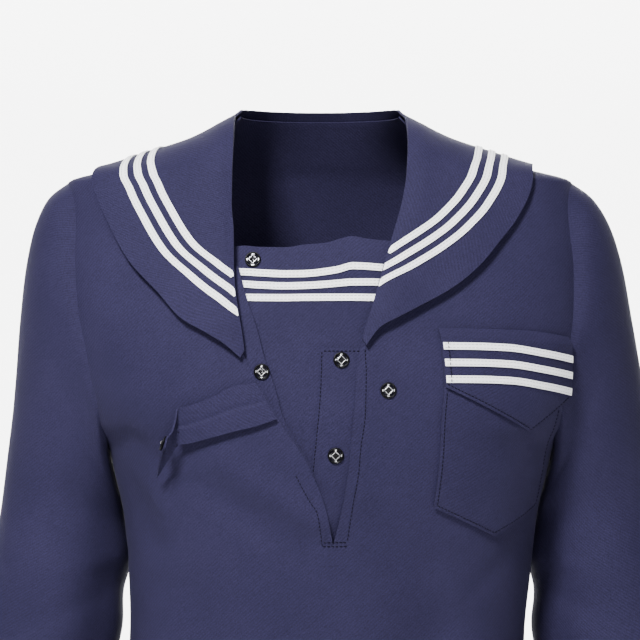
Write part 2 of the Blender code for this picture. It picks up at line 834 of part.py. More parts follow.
# Pocket and flap, laid along the cloth from their inner edge
def along_front(inner_x, height, along, lift):
    turn = turn_at_x(inner_x, height)
    length = 0.0
    place = bare_form(turn, height)
    step = 0.01
    while length < along:
        following = bare_form(turn - step, height)
        length += (following - place).length
        turn -= step
        place = following
    return form(turn, height, lift)


def patch(name, outline, inner_edge, lift, across, down, cloth):
    top = column(outline, "along", "top")
    edge = column(inner_edge, "height", "x")
    bottoms = [(row.along, row.bottom) for row in outline]
    rows = []
    for share in between(0.0, 1.0, down):
        row = []
        for along in patch_places(bottoms, across):
            low = straight(bottoms, along)
            height = top(along) + (low - top(along)) * share
            row.append(along_front(edge(height), height, along, lift))
        rows.append(row)
    return grid_wall(name, rows, CLOTH, cloth)


def patch_places(corners, across):
    """Places along a patch, with one on each corner of its lower edge."""
    places = [corners[0][0]]
    for (start, _), (end, _) in zip(corners, corners[1:]):
        places += between(start, end, across)[1:]
    return places


def straight(corners, along):
    for (start, low), (end, high) in zip(corners, corners[1:]):
        if along <= end:
            return low + (high - low) * (along - start) / (end - start)
    return corners[-1][1]


def flap_tape(number, cloth):
    edge = column(FLAP_EDGE, "height", "x")
    centre = column(FLAP_TAPE, "along", "height")
    rows = []
    for side in (TAPE_WIDTH / 2, -TAPE_WIDTH / 2):
        row = []
        for along in between(FLAP_TAPE[0].along, FLAP_TAPE[-1].along, 12):
            height = centre(along) - FLAP_TAPE_STEP * number + side
            row.append(along_front(edge(height), height, along, FLAP_TAPE_LIFT))
        rows.append(row)
    return grid_wall(f"flap_tape_{number + 1}", rows, TAPE_CLOTH, cloth)


# Scarf tab
def tab_rows():
    rows = []
    for line in SCARF_TAB:
        row = []
        for share in between(0.0, 1.0, TAB_CELLS):
            x = line.top_x + (line.low_x - line.top_x) * share
            height = line.top_z + (line.low_z - line.top_z) * share
            lift = line.top_lift + (line.low_lift - line.top_lift) * share
            point = bare_form(turn_at_x(x, height), height)
            row.append(point + form_normal(turn_at_x(x, height), height) * lift)
        rows.append(row)
    return rows


def scarf_tab(cloth):
    rows = tab_rows()
    points = [point for row in rows for point in row]
    cells = [tuple(reversed(cell)) for cell in grid_cells(len(rows), len(rows[0]))]
    normals = sheet_normals(points, cells)
    if normals[0].y > 0:
        cells = [tuple(reversed(cell)) for cell in cells]
    return wall("scarf_tab", points, None, cells, TAB_CLOTH, cloth)


# Press studs
def turned(name, centre, axis, profile, metal):
    side = axis.orthogonal().normalized()
    other = axis.cross(side)
    points = []
    for turn in profile:
        for i in range(STUD_SIDES):
            angle = 2 * math.pi * i / STUD_SIDES
            spoke = side * math.cos(angle) + other * math.sin(angle)
            points.append(centre + spoke * turn.radius + axis * turn.rise)
    faces = grid_cells(len(profile), STUD_SIDES, closed=True)
    faces.append(tuple(reversed(range(STUD_SIDES))))
    faces.append(tuple(range(STUD_SIDES * (len(profile) - 1), STUD_SIDES * len(profile))))
    return solid(name, points, faces, metal)


def studs(metal):
    for stud in STUDS:
        point, normal = front_point(stud.x, stud.z, stud.lift + STUD_GAP)
        turned(stud.name, point, normal, STUD_PROFILE[stud.kind], metal)
    tab_stud(metal)


def tab_stud(metal):
    """The tab's own stud, on the outer side of its free end."""
    rows = tab_rows()
    corner, low = rows[-1][0], rows[-1][-1]
    before = rows[-3][0]
    down = (low - corner).normalized()
    in_from_end = (before - corner).normalized()
    centre = corner + (down + in_from_end) * TAB_STUD_INSET
    axis = down.cross(in_from_end).normalized()
    if axis.x > 0:
        axis = -axis
    gap = TAB_STUD_GAP + (TAB_CLOTH if axis.y > 0 else 0.0)
    turned("stud_tab", centre + axis * gap, axis, STUD_PROFILE["ball"], metal)


def jumper():
    cloth = navy_twill()
    tape = white_tape()
    metal = black_metal()
    front(cloth)
    back(cloth)
    sleeve("sleeve_left", 1, cloth)
    sleeve("sleeve_right", -1, cloth)
    collar(cloth)
    for number in range(3):
        collar_tape(number, tape)
    chest_panel(cloth)
    for number, name in enumerate(("first", "second", "third"), 1):
        chest_tape(number, name, tape)
    strip("edge_facing", FACING, FACING_LIFT, 2, cloth)
    strip("underlap", UNDERLAP, UNDERLAP_LIFT, 3, cloth)
    patch("pocket", POCKET, POCKET_EDGE, POCKET_LIFT, 5, 7, cloth)
    patch("pocket_flap", FLAP, FLAP_EDGE, FLAP_LIFT, 6, 5, cloth)
    for number in range(3):
        flap_tape(number, tape)
    scarf_tab(cloth)
    studs(metal)


jumper()
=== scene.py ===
import math
from bisect import bisect_right
from collections import namedtuple

import bmesh
import bpy
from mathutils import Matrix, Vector, noise


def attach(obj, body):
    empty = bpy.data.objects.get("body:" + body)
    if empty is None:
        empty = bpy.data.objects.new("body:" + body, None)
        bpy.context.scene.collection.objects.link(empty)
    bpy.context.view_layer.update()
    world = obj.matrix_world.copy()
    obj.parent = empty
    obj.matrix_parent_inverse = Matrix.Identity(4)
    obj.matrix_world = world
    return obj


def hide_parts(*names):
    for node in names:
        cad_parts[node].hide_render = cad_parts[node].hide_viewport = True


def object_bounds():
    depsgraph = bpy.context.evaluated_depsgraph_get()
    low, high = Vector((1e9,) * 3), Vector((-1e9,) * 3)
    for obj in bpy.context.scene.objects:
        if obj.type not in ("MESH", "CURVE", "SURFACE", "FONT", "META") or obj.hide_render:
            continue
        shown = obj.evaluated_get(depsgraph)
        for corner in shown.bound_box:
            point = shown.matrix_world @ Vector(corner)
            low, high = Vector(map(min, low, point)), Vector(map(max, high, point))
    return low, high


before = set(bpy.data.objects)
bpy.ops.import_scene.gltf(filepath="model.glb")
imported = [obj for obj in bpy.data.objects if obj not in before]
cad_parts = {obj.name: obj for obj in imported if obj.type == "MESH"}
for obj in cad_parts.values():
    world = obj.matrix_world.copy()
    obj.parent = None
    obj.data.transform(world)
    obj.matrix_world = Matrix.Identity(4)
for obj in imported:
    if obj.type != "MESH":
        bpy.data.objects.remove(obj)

MM = 0.001
CAD_BOX = [list(corner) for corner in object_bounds()]


# Camera at the photograph's angle
def camera():
    sight = bpy.data.cameras.new("sight")
    sight.sensor_width = 36
    sight.lens = 2545 / 640 * 36
    holder = bpy.data.objects.new("sight", sight)
    holder.location = (0, -2.0, -0.149)
    holder.rotation_euler = (math.radians(90), 0, 0)
    bpy.context.scene.collection.objects.link(holder)
    bpy.context.scene.camera = holder


camera()


# Floor, backdrop and soft studio light
def studio():
    floor_below = 0.55
    floor_z = CAD_BOX[0][2] - floor_below
    wall_y = 5.0
    bend = 1.5
    profile = [(-4.5, floor_z)]
    for step in range(13):
        angle = math.pi / 2 * step / 12
        profile.append((wall_y - bend + bend * math.sin(angle), floor_z + bend - bend * math.cos(angle)))
    profile.append((wall_y, 3.5))
    points = [(x, y, z) for x in (-7, 7) for y, z in profile]
    count = len(profile)
    faces = [(i, i + 1, count + i + 1, count + i) for i in range(count - 1)]
    mesh = bpy.data.meshes.new("backdrop")
    mesh.from_pydata(points, [], faces)
    mesh.shade_smooth()
    paper = bpy.data.materials.new("backdrop")
    paper.use_nodes = True
    shader = paper.node_tree.nodes["Principled BSDF"]
    shader.inputs["Base Color"].default_value = (0.93, 0.93, 0.93, 1)
    shader.inputs["Roughness"].default_value = 0.9
    mesh.materials.append(paper)
    backdrop = bpy.data.objects.new("backdrop", mesh)
    bpy.context.scene.collection.objects.link(backdrop)

    world = bpy.data.worlds.new("studio")
    world.use_nodes = True
    world.node_tree.nodes["Background"].inputs["Color"].default_value = (1, 1, 1, 1)
    world.node_tree.nodes["Background"].inputs["Strength"].default_value = 0.34
    bpy.context.scene.world = world

    for name, place, target, size, power in (
        ("key", (-0.75, -1.9, 1.65), (0, 0, -0.25), 0.6, 260),
        ("fill", (0.5, -2.6, -0.1), (0, 0, -0.25), 1.0, 26),
        ("top", (-0.2, -0.5, 2.0), (0, 0, -0.2), 1.0, 16),
        ("back", (0.5, 2.2, 0.4), (0, 0, -0.3), 1.0, 30),
        ("wall left", (-1.8, 3.0, 2.4), (-0.3, 5.0, 0.0), 1.4, 480),
        ("wall right", (1.8, 3.0, 2.4), (0.3, 5.0, 0.0), 1.4, 480),
    ):
        lamp = bpy.data.lights.new(name, "AREA")
        lamp.energy = power
        lamp.size = size
        holder = bpy.data.objects.new(name, lamp)
        holder.location = place
        aim = Vector(target) - Vector(place)
        holder.rotation_euler = aim.to_track_quat("-Z", "Y").to_euler()
        bpy.context.scene.collection.objects.link(holder)


studio()


# Front: helpers that every panel uses come first, then the worn trunk's form
def curve_through(places, values):
    """A smooth curve that never swings past the values it passes through."""
    pairs = sorted(zip(places, values))
    xs = [pair[0] for pair in pairs]
    ys = [pair[1] for pair in pairs]
    steps = [b - a for a, b in zip(xs, xs[1:])]
    rates = [(b - a) / step for a, b, step in zip(ys, ys[1:], steps)]
    slopes = [rates[0]]
    for i in range(1, len(xs) - 1):
        if rates[i - 1] * rates[i] <= 0:
            slopes.append(0.0)
            continue
        before = 2 * steps[i] + steps[i - 1]
        after = steps[i] + 2 * steps[i - 1]
        slopes.append((before + after) / (before / rates[i - 1] + after / rates[i]))
    slopes.append(rates[-1])

    def value(x):
        if x <= xs[0]:
            return ys[0] + slopes[0] * (x - xs[0])
        if x >= xs[-1]:
            return ys[-1] + slopes[-1] * (x - xs[-1])
        i = bisect_right(xs, x) - 1
        t = (x - xs[i]) / steps[i]
        start = (1 + 2 * t) * (1 - t) ** 2 * ys[i] + t * (1 - t) ** 2 * steps[i] * slopes[i]
        end = t * t * (3 - 2 * t) * ys[i + 1] + t * t * (t - 1) * steps[i] * slopes[i + 1]
        return start + end

    return value


def rows_of(columns, *rows):
    """A table: rows of values under named columns."""
    Row = namedtuple("Row", columns)
    return tuple(Row(*row) for row in rows)


def column(table, place, name):
    return curve_through([getattr(row, place) for row in table], [getattr(row, name) for row in table])


def numbered(table, name):
    """A smooth curve through a column, read by row number."""
    return curve_through(range(len(table)), [getattr(row, name) for row in table])


def between(start, end, cells):
    return [start + (end - start) * i / cells for i in range(cells + 1)]


def grid_cells(rows, columns, closed=False):
    wide = columns if closed else columns - 1
    return [
        (
            row * columns + i,
            row * columns + (i + 1) % columns,
            (row + 1) * columns + (i + 1) % columns,
            (row + 1) * columns + i,
        )
        for row in range(rows - 1)
        for i in range(wide)
    ]


def sheet_normals(points, cells):
    sums = [Vector() for _ in points]
    for cell in cells:
        area = (points[cell[2]] - points[cell[0]]).cross(points[cell[3]] - points[cell[1]])
        for i in cell:
            sums[i] += area
    return [total.normalized() for total in sums]


def linked(name, points, faces):
    """A new object on the one body, from points in millimetres."""
    mesh = bpy.data.meshes.new(name)
    mesh.from_pydata([tuple(point * MM) for point in points], [], faces)
    piece = bpy.data.objects.new(name, mesh)
    bpy.context.scene.collection.objects.link(piece)
    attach(piece, "root")
    return piece


def face_outward(mesh):
    closed = bmesh.new()
    closed.from_mesh(mesh)
    bmesh.ops.recalc_face_normals(closed, faces=closed.faces)
    closed.to_mesh(mesh)
    closed.free()
    mesh.shade_smooth()


def shell(node, points, normals, cells, thickness, uvs, cloth, round_length=None):
    """A closed wall in place of a node: a sheet of points, its inner face and the rims.

    A tube's cells that wrap past its seam take its length round from round_length.
    """
    facing = sheet_normals(points, cells)
    if normals is None:
        normals = facing
    if sum(a.dot(b) for a, b in zip(facing[::7], normals[::7])) < 0:
        cells = [tuple(reversed(cell)) for cell in cells]
    count = len(points)
    inner = [point - normal * thickness for point, normal in zip(points, normals)]
    faces = list(cells) + [tuple(count + i for i in reversed(cell)) for cell in cells]
    edges = set()
    for cell in cells:
        for a, b in zip(cell, cell[1:] + cell[:1]):
            edges.add((a, b))
    rims = [(a, b) for a, b in edges if (b, a) not in edges]
    rims.sort()
    faces += [(b, a, a + count, b + count) for a, b in rims]
    piece = linked(f"{node}_cloth", points + inner, faces)
    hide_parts(node)
    mesh = piece.data
    layer = mesh.uv_layers.new(name="cloth")
    both = list(uvs) + list(uvs)
    flat = []
    for face in faces:
        corners = [both[i] for i in face]
        if round_length and max(u for u, _ in corners) - min(u for u, _ in corners) > round_length / 2:
            corners = [(u + round_length if u < 0 else u, v) for u, v in corners]
        for corner in corners:
            flat += corner
    layer.data.foreach_set("uv", [value * MM for value in flat])
    mesh.shade_smooth()
    sharp = {frozenset(rim) for rim in rims} | {frozenset((a + count, b + count)) for a, b in rims}
    mesh.edges.foreach_set("use_edge_sharp", [frozenset(edge.vertices) in sharp for edge in mesh.edges])
    mesh.materials.append(cloth)
    return piece


def sheet_area(points, cells):
    total = 0.0
    for a, b, c, d in cells:
        total += (points[c] - points[a]).cross(points[d] - points[b]).length / 2
    return total * MM * MM


def grid_uvs(grid):
    """Lengths of cloth along a grid's rows and down its middle, as texture places."""
    middle = len(grid[0]) // 2
    uvs = []
    down = 0.0
    for number, row in enumerate(grid):
        if number:
            down -= (row[middle] - grid[number - 1][middle]).length
        along = [0.0]
        for a, b in zip(row, row[1:]):
            along.append(along[-1] + (b - a).length)
        uvs += [(value - along[middle], down) for value in along]
    return uvs


def grid_shell(node, rows, thickness, cloth):
    """A shell through rows of (point, outward direction) pairs, and its sheet's area."""
    grid = [[point for point, _ in row] for row in rows]
    points = [point for row in grid for point in row]
    normals = [normal for row in rows for _, normal in row]
    cells = grid_cells(len(rows), len(rows[0]))
    piece = shell(node, points, normals, cells, thickness, grid_uvs(grid), cloth)
    return piece, sheet_area(points, cells)


def finish_named(name):
    """A new material, its shader, and a function that adds nodes to it."""
    material = bpy.data.materials.new(name)
    material.use_nodes = True
    tree = material.node_tree

    def add(kind, inputs=(), **settings):
        node = tree.nodes.new(kind)
        for key, value in settings.items():
            setattr(node, key, value)
        for key, value in dict(inputs).items():
            if isinstance(value, bpy.types.NodeSocket):
                tree.links.new(value, node.inputs[key])
            else:
                node.inputs[key].default_value = value
        return node

    return material, tree.nodes["Principled BSDF"], add


def set_inputs(shader, **values):
    """Constants on the shader's own sockets, underscores for the spaces in their names."""
    for name, value in values.items():
        shader.inputs[name.replace("_", " ")].default_value = value


def two_tones(ramp, low, low_colour, high, high_colour):
    for element, place, colour in zip(ramp.color_ramp.elements, (low, high), (low_colour, high_colour)):
        element.position = place
        element.color = (*colour, 1)


def twill(name):
    """Navy gabardine: a fine diagonal rib, a grainy weave, and soft uneven shade."""
    cloth, shader, add = finish_named(name)
    place = add("ShaderNodeUVMap", uv_map="cloth").outputs["UV"]
    solid_place = add("ShaderNodeTexCoord").outputs["Object"]
    turned = add("ShaderNodeMapping", {"Vector": place, "Rotation": (0, 0, math.radians(-42))})
    rib = add("ShaderNodeTexWave", {"Vector": turned.outputs["Vector"], "Scale": 150.0, "Distortion": 1.2,
                                    "Detail": 2.0, "Detail Scale": 3.0}, bands_direction="Y")
    grain = add("ShaderNodeTexNoise", {"Vector": solid_place, "Scale": 1100.0, "Detail": 2.0})
    blotch = add("ShaderNodeTexNoise", {"Vector": solid_place, "Scale": 16.0, "Detail": 3.0})
    tone = add("ShaderNodeValToRGB", {"Fac": blotch.outputs["Fac"]})
    two_tones(tone, 0.3, (0.0108, 0.0094, 0.0262), 0.72, (0.0134, 0.0116, 0.0312))
    flecks = add("ShaderNodeMapRange", {"Value": grain.outputs["Fac"], "From Min": 0.3, "From Max": 0.7,
                                        "To Min": 0.72, "To Max": 1.32})
    lines = add("ShaderNodeMapRange", {"Value": rib.outputs["Fac"], "To Min": 0.88, "To Max": 1.10})
    shades = {0: flecks.outputs["Result"], 1: lines.outputs["Result"]}
    shade = add("ShaderNodeMath", shades, operation="MULTIPLY")
    colour = add("ShaderNodeVectorMath", {0: tone.outputs["Color"]}, operation="SCALE")
    cloth.node_tree.links.new(shade.outputs[0], colour.inputs["Scale"])
    cloth.node_tree.links.new(colour.outputs[0], shader.inputs["Base Color"])
    nap = add("ShaderNodeMath", {0: grain.outputs["Fac"], 1: 0.6}, operation="MULTIPLY")
    both = add("ShaderNodeMath", {0: rib.outputs["Fac"], 1: nap.outputs[0]}, operation="ADD")
    bump = add("ShaderNodeBump", {"Height": both.outputs[0], "Strength": 0.3, "Distance": 0.0002})
    cloth.node_tree.links.new(bump.outputs["Normal"], shader.inputs["Normal"])
    set_inputs(shader, Roughness=0.8, Specular_IOR_Level=0.06, Sheen_Weight=0.01, Sheen_Roughness=0.5,
               Sheen_Tint=(0.6, 0.6, 0.85, 1))
    return cloth


NAVY = twill("navy_twill")

CLOTH = 1.1
SEAM_HALF_GAP = 0.2
SQUARENESS = 2.3
FACING_LIFT = -2.2
UNDERLAP_LIFT = -3.9
CHEST_LIFT = -5.6

# Level sections of the trunk, from the neck to the hem
TRUNK = rows_of(
    "height half_width front back middle",
    (24, 59, 46, 58, 0),
    (14, 61, 49, 60, 0),
    (3, 71, 54, 66, 0),
    (-11, 99, 60, 74, 0),
    (-22, 133, 65, 80, 0),
    (-31, 162, 69, 85, 0),
    (-41, 197, 73, 89, 0),
    (-70, 205, 85, 98, 1.5),
    (-110, 208, 99, 106, 3.5),
    (-150, 207, 110, 110, 5),
    (-198, 200, 119, 109, 7),
    (-228, 187, 121, 106, 8),
    (-243, 176, 121, 104, 8),
    (-270, 169, 119, 99, 8),
    (-300, 162, 115, 93, 8),
    (-345, 157.5, 109, 86, 7.5),
    (-395, 154.5, 105, 83, 5.5),
    (-450, 155, 106, 88, 4),
    (-520, 159, 110, 98, 2),
    (-600, 165, 114, 106, 0),
)

# The armhole: how far it reaches to the front and to the back at each height
ARMHOLE = rows_of(
    "height front back",
    (-41, 0, 0),
    (-46, 22, 20),
    (-61, 35, 31),
    (-84, 42, 37),
    (-112, 47, 41),
    (-144, 53, 45),
    (-176, 59.5, 48.5),
    (-205, 60, 49.5),
    (-228, 49, 42),
    (-243, 28, 25),
    (-248, 0, 0),
)

# The front's neck edges and, below the V, the edges of its slit
OPENING = rows_of(
    "height right left",
    (3, -68, 68.5),
    (-20, -70.5, 70.5),
    (-43, -70.5, 69.5),
    (-62, -70, 66),
    (-80, -68.5, 61),
    (-100, -67.5, 55),
    (-120, -67, 49),
    (-148, -63, 40.5),
    (-177, -56, 28),
    (-207, -39.5, 26),
    (-223, -30.6, 24.7),
    (-258, -8, 21.5),
    (-295, 5.9, 15),
    (-316, 9.6, 9.6),
)
SLIT_END = -316
HEM = -600
HEM_DEPTH = 20.0
HEM_RISE = 0.8

# Troughs (negative rise) and ridges of the worn cloth, as segments on the front or back
FOLD_COLUMNS = "side x z to_x to_z width rise"
FOLDS = rows_of(
    FOLD_COLUMNS,
    ("front", -70, -256, 2, -300, 11, 3.2),
    ("front", -88, -270, -16, -316, 12, -3.4),
    ("front", -150, -248, -128, -318, 13, -3.2),
    ("front", 40, -300, 92, -372, 16, -2.4),
    ("front", -96, -356, -62, -470, 18, -3.2),
    ("front", -20, -372, -4, -560, 22, 3.0),
    ("front", 74, -392, 62, -560, 20, -3.0),
    ("front", 122, -400, 128, -590, 16, 2.6),
    ("front", -128, -430, -132, -590, 16, 2.8),
    ("front", -72, -500, -66, -600, 18, 3.0),
    ("back", -120, -262, -40, -330, 15, -3.4),
    ("back", 124, -258, 36, -336, 15, -3.2),
    ("back", -96, -300, -30, -352, 12, 2.6),
    ("back", 98, -306, 40, -366, 12, 2.8),
    ("back", -84, -400, -90, -590, 20, 3.2),
    ("back", 6, -388, -4, -580, 24, -3.0),
    ("back", 88, -410, 96, -596, 20, 3.0),
)
FINE_FOLDS = rows_of(
    FOLD_COLUMNS,
    ("front", -146, -236, -112, -262, 6, -1.3),
    ("front", -150, -256, -120, -290, 6, 1.1),
    ("front", -96, -262, -52, -284, 6, 0.9),
    ("front", -60, -300, -12, -330, 8, -1.2),
    ("front", 150, -322, 118, -352, 8, -1.2),
    ("front", 26, -330, 60, -350, 8, 0.9),
    ("front", 140, -240, 158, -262, 6, -1.0),
    ("front", -146, -330, -118, -352, 8, -1.0),
    ("back", -140, -250, -100, -272, 7, -1.2),
    ("back", 142, -246, 104, -270, 7, -1.2),
    ("back", -60, -352, -10, -372, 9, -1.0),
    ("back", 30, -380, 76, -398, 9, 1.0),
)
WAVE_SIZE = 55.0
WAVE_RISE = 0.7

half_width = column(TRUNK, "height", "half_width")
front_depth = column(TRUNK, "height", "front")
back_depth = column(TRUNK, "height", "back")
middle = column(TRUNK, "height", "middle")
ARMHOLE_CURVES = [numbered(ARMHOLE, name) for name in ("height", "front", "back")]
opening_right = column(OPENING, "height", "right")
opening_left = column(OPENING, "height", "left")


def bare_form(turn, height):
    """The trunk's form. A turn of 0 is the wearer's left side, a quarter turn the front."""
    sine, cosine = math.sin(turn), math.cos(turn)
    depth = front_depth(height) if sine >= 0 else back_depth(height)
    out = abs(sine) ** (2 / SQUARENESS) * depth
    across = math.copysign(abs(cosine) ** (2 / SQUARENESS), cosine)
    return Vector((middle(height) + half_width(height) * across, -out if sine >= 0 else out, height))


def form_normal(turn, height):
    round_it = bare_form(turn + 0.04, height) - bare_form(turn - 0.04, height)
    down_it = bare_form(turn, height - 1.5) - bare_form(turn, height + 1.5)
    return round_it.cross(down_it).normalized()


def fold_rise(side, x, height):
    rise = 0.0
    for fold in FOLDS + FINE_FOLDS:
        if fold.side != side:
            continue
        run_x = fold.to_x - fold.x
        run_z = fold.to_z - fold.z
        share = ((x - fold.x) * run_x + (height - fold.z) * run_z) / (run_x ** 2 + run_z ** 2)
        share = min(1.0, max(0.0, share))
        off = math.hypot(x - fold.x - share * run_x, height - fold.z - share * run_z)
        if off < 3 * fold.width:
            rise += fold.rise * math.exp(-((off / fold.width) ** 2))
    return rise


def form(turn, height, lift):
    """The point at this turn and height, and the cloth's direction outward there."""
    point = bare_form(turn, height)
    normal = form_normal(turn, height)
    side = "front" if math.sin(turn) >= 0 else "back"
    rise = fold_rise(side, point.x, height)
    rise += WAVE_RISE * noise.noise(point / WAVE_SIZE) * min(1.0, abs(math.sin(turn)) * 3)
    return point + normal * (lift + rise), normal


def turn_at_x(x, height):
    across = (x - middle(height)) / half_width(height)
    return math.acos(max(-1.0, min(1.0, math.copysign(abs(across) ** (SQUARENESS / 2), across))))


def turn_at_depth(reach, depth):
    return math.asin((max(reach, SEAM_HALF_GAP) / depth) ** (SQUARENESS / 2))


def front_point(x, height, lift):
    return form(turn_at_x(x, height), height, lift)


def hem_rise(height):
    """The cloth is doubled where the hem is turned up."""
    return HEM_RISE * min(1.0, max(0.0, (HEM + HEM_DEPTH - height) / 1.5))


Level = namedtuple("Level", "height front back")


def panel_levels(top):
    """Heights down a panel, with the armhole's reach at each."""

    def plain(start, end, cells):
        return [Level(height, 0.0, 0.0) for height in between(start, end, cells)]

    levels = plain(top, ARMHOLE[0].height, 22)[:-1]
    for number in between(0, len(ARMHOLE) - 1, 50):
        levels.append(Level(*[curve(number) for curve in ARMHOLE_CURVES]))
    levels += plain(ARMHOLE[-1].height, SLIT_END, 22)[1:]
    levels += plain(SLIT_END, HEM + HEM_DEPTH, 64)[1:]
    levels += plain(HEM + HEM_DEPTH, HEM, 13)[1:]
    return levels


FRONT_CELLS = 52


def front():
    points = []
    normals = []
    uvs = []
    cells = []
    last = None
    for level in panel_levels(OPENING[0].height):
        height = level.height
        side = turn_at_depth(level.front, front_depth(height))
        right_x = opening_right(max(height, SLIT_END))
        left_x = opening_left(max(height, SLIT_END))
        joined = height <= SLIT_END
        right = between(turn_at_x(right_x, height), math.pi - side, FRONT_CELLS)
        left = between(turn_at_x(left_x, height), side, FRONT_CELLS)
        rows = []
        for turns, edge_x, hand in ((right, right_x, -1), (left, left_x, 1)):
            row = []
            for i, turn in enumerate(turns):
                if joined and hand > 0 and i == 0:
                    row.append(rows[0][0])
                    along = edge_x
                    before = points[row[0]]
                    continue
                point, normal = form(turn, height, hem_rise(height))
                along = edge_x if i == 0 else along + hand * (point - before).length
                before = point
                row.append(len(points))
                points.append(point)
                normals.append(normal)
                uvs.append((along, height))
            rows.append(row)
        if last:
            for above, below, hand in ((last[0], rows[0], -1), (last[1], rows[1], 1)):
                for i in range(FRONT_CELLS):
                    cell = (above[i], above[i + 1], below[i + 1], below[i])
                    cells.append(cell if hand > 0 else tuple(reversed(cell)))
        last = rows
    piece = shell("front", points, normals, cells, CLOTH, uvs, NAVY)


front()


# Back: one panel from the neck to the hem
BACK_CELLS = 90


def back():
    rows = []
    for level in panel_levels(11):
        side = turn_at_depth(level.back, back_depth(level.height))
        turns = between(-side, side - math.pi, BACK_CELLS)
        rows.append([form(turn, level.height, hem_rise(level.height)) for turn in turns])
    piece, area = grid_shell("back", rows, CLOTH, NAVY)


back()


# Sleeves: rings that start on the armhole and lean out to plain open cuffs
SLEEVE_GAP = 0.3
Ring = namedtuple("Ring", "outer_x outer_z inner_x inner_z middle_y half_depth")
ARMHOLE_RING = Ring(197, -41, 174.6, -248, -5.5, 55)
SLEEVE = (
    ARMHOLE_RING,
    Ring(212, -52, 173.6, -256, -3, 56),
    Ring(225, -74, 171.2, -266, 2, 57),
    Ring(235, -108, 168, -279, 9, 58),
    Ring(242, -150, 163.8, -293, 16, 58),
    Ring(249, -200, 159.6, -310, 22, 58),
    Ring(256, -252, 157.2, -330, 26, 57),
    Ring(263, -303, 157.6, -352, 27, 56),
    Ring(271, -352, 159.5, -380, 26, 56),
    Ring(279, -402, 166, -414, 24, 56),
    Ring(287, -452, 178, -458, 20, 56),
    Ring(295, -502, 191, -505, 14, 56),
    Ring(302, -548, 204, -552, 9, 56),
    Ring(307, -586, 215, -592, 4, 57),
    Ring(310, -612, 222, -620, 2, 57),
)
BLEND_RINGS = 4
RING_STEPS = 10
SLEEVE_SIDES = 100
SLEEVE_ROUND = 330.0
ALLOWANCE = 5.0
ALLOWANCE_DROP = 1.6

# Troughs round a sleeve: the ring and the turn where each is deepest, in rings and degrees
CREASES = rows_of(
    "ring turn slant rings_wide degrees_wide rise",
    (5.2, -150, 0.012, 0.7, 60, -4.0),
    (6.4, -60, 0.010, 0.6, 55, -3.0),
    (7.6, 170, -0.010, 0.7, 70, -5.0),
    (8.6, 100, 0.008, 0.7, 60, -3.5),
    (9.6, -130, -0.012, 0.6, 60, -4.0),
    (11.0, 60, 0.010, 0.7, 60, -3.0),
    (12.0, -40, 0.010, 0.7, 55, -3.0),
    (9.0, -138, 0.0, 4.0, 24, -5.0),
    (7.0, -120, 0.014, 0.3, 45, 1.6),
    (8.2, -100, 0.014, 0.3, 40, -1.8),
    (9.0, -80, -0.012, 0.3, 40, 1.5),
    (10.3, -100, 0.012, 0.3, 45, -1.8),
)
RING_CURVES = [numbered(SLEEVE, name) for name in Ring._fields]


def sleeve_uvs(grid):
    """Lengths down each column from its own height, and round each ring from the top."""
    half = SLEEVE_SIDES // 2
    uvs = []
    downs = [point.z for point in grid[0]]
    for number, row in enumerate(grid):
        if number:
            downs = [down - (a - b).length for down, a, b in zip(downs, row, grid[number - 1])]
        along = [0.0]
        for a, b in zip(row, row[1:]):
            along.append(along[-1] + (b - a).length)
        length = along[-1] + (row[0] - row[-1]).length
        scale = SLEEVE_ROUND / length
        along = along[:half + 1] + [u - length for u in along[half + 1:]]
        uvs += [(u * scale, down) for u, down in zip(along, downs)]
    return uvs


def ring_point(number, turn):
    ring = Ring(*[curve(number) for curve in RING_CURVES])
    x = (ring.outer_x + ring.inner_x) / 2 + (ring.outer_x - ring.inner_x) / 2 * math.cos(turn)
    z = (ring.outer_z + ring.inner_z) / 2 + (ring.outer_z - ring.inner_z) / 2 * math.cos(turn)
    return Vector((x, ring.middle_y + ring.half_depth * math.sin(turn), z))


def armhole_loop(hand):
    """The armhole's points down the front and up the back, for the hand 1 (left) or -1."""
    height, ahead, behind = ARMHOLE_CURVES
    half = SLEEVE_SIDES // 2
    last = len(ARMHOLE) - 1
    loop = []
    for i in range(SLEEVE_SIDES):
        number = last * i / half if i <= half else last * (SLEEVE_SIDES - i) / half
        level = height(number)
        if i in (0, half):
            turn = 0.0
        elif i < half:
            turn = turn_at_depth(ahead(number), front_depth(level))
        else:
            turn = -turn_at_depth(behind(number), back_depth(level))
        loop.append(form(turn if hand > 0 else math.pi - turn, level, 0.0))
    return loop


def crease_rise(ring, degrees):
    rise = 0.0
    for crease in CREASES:
        off = (degrees - crease.turn + 180) % 360 - 180
        along = (ring - crease.ring - crease.slant * off) / crease.rings_wide
        rise += crease.rise * math.exp(-along * along - (off / crease.degrees_wide) ** 2)
    return rise


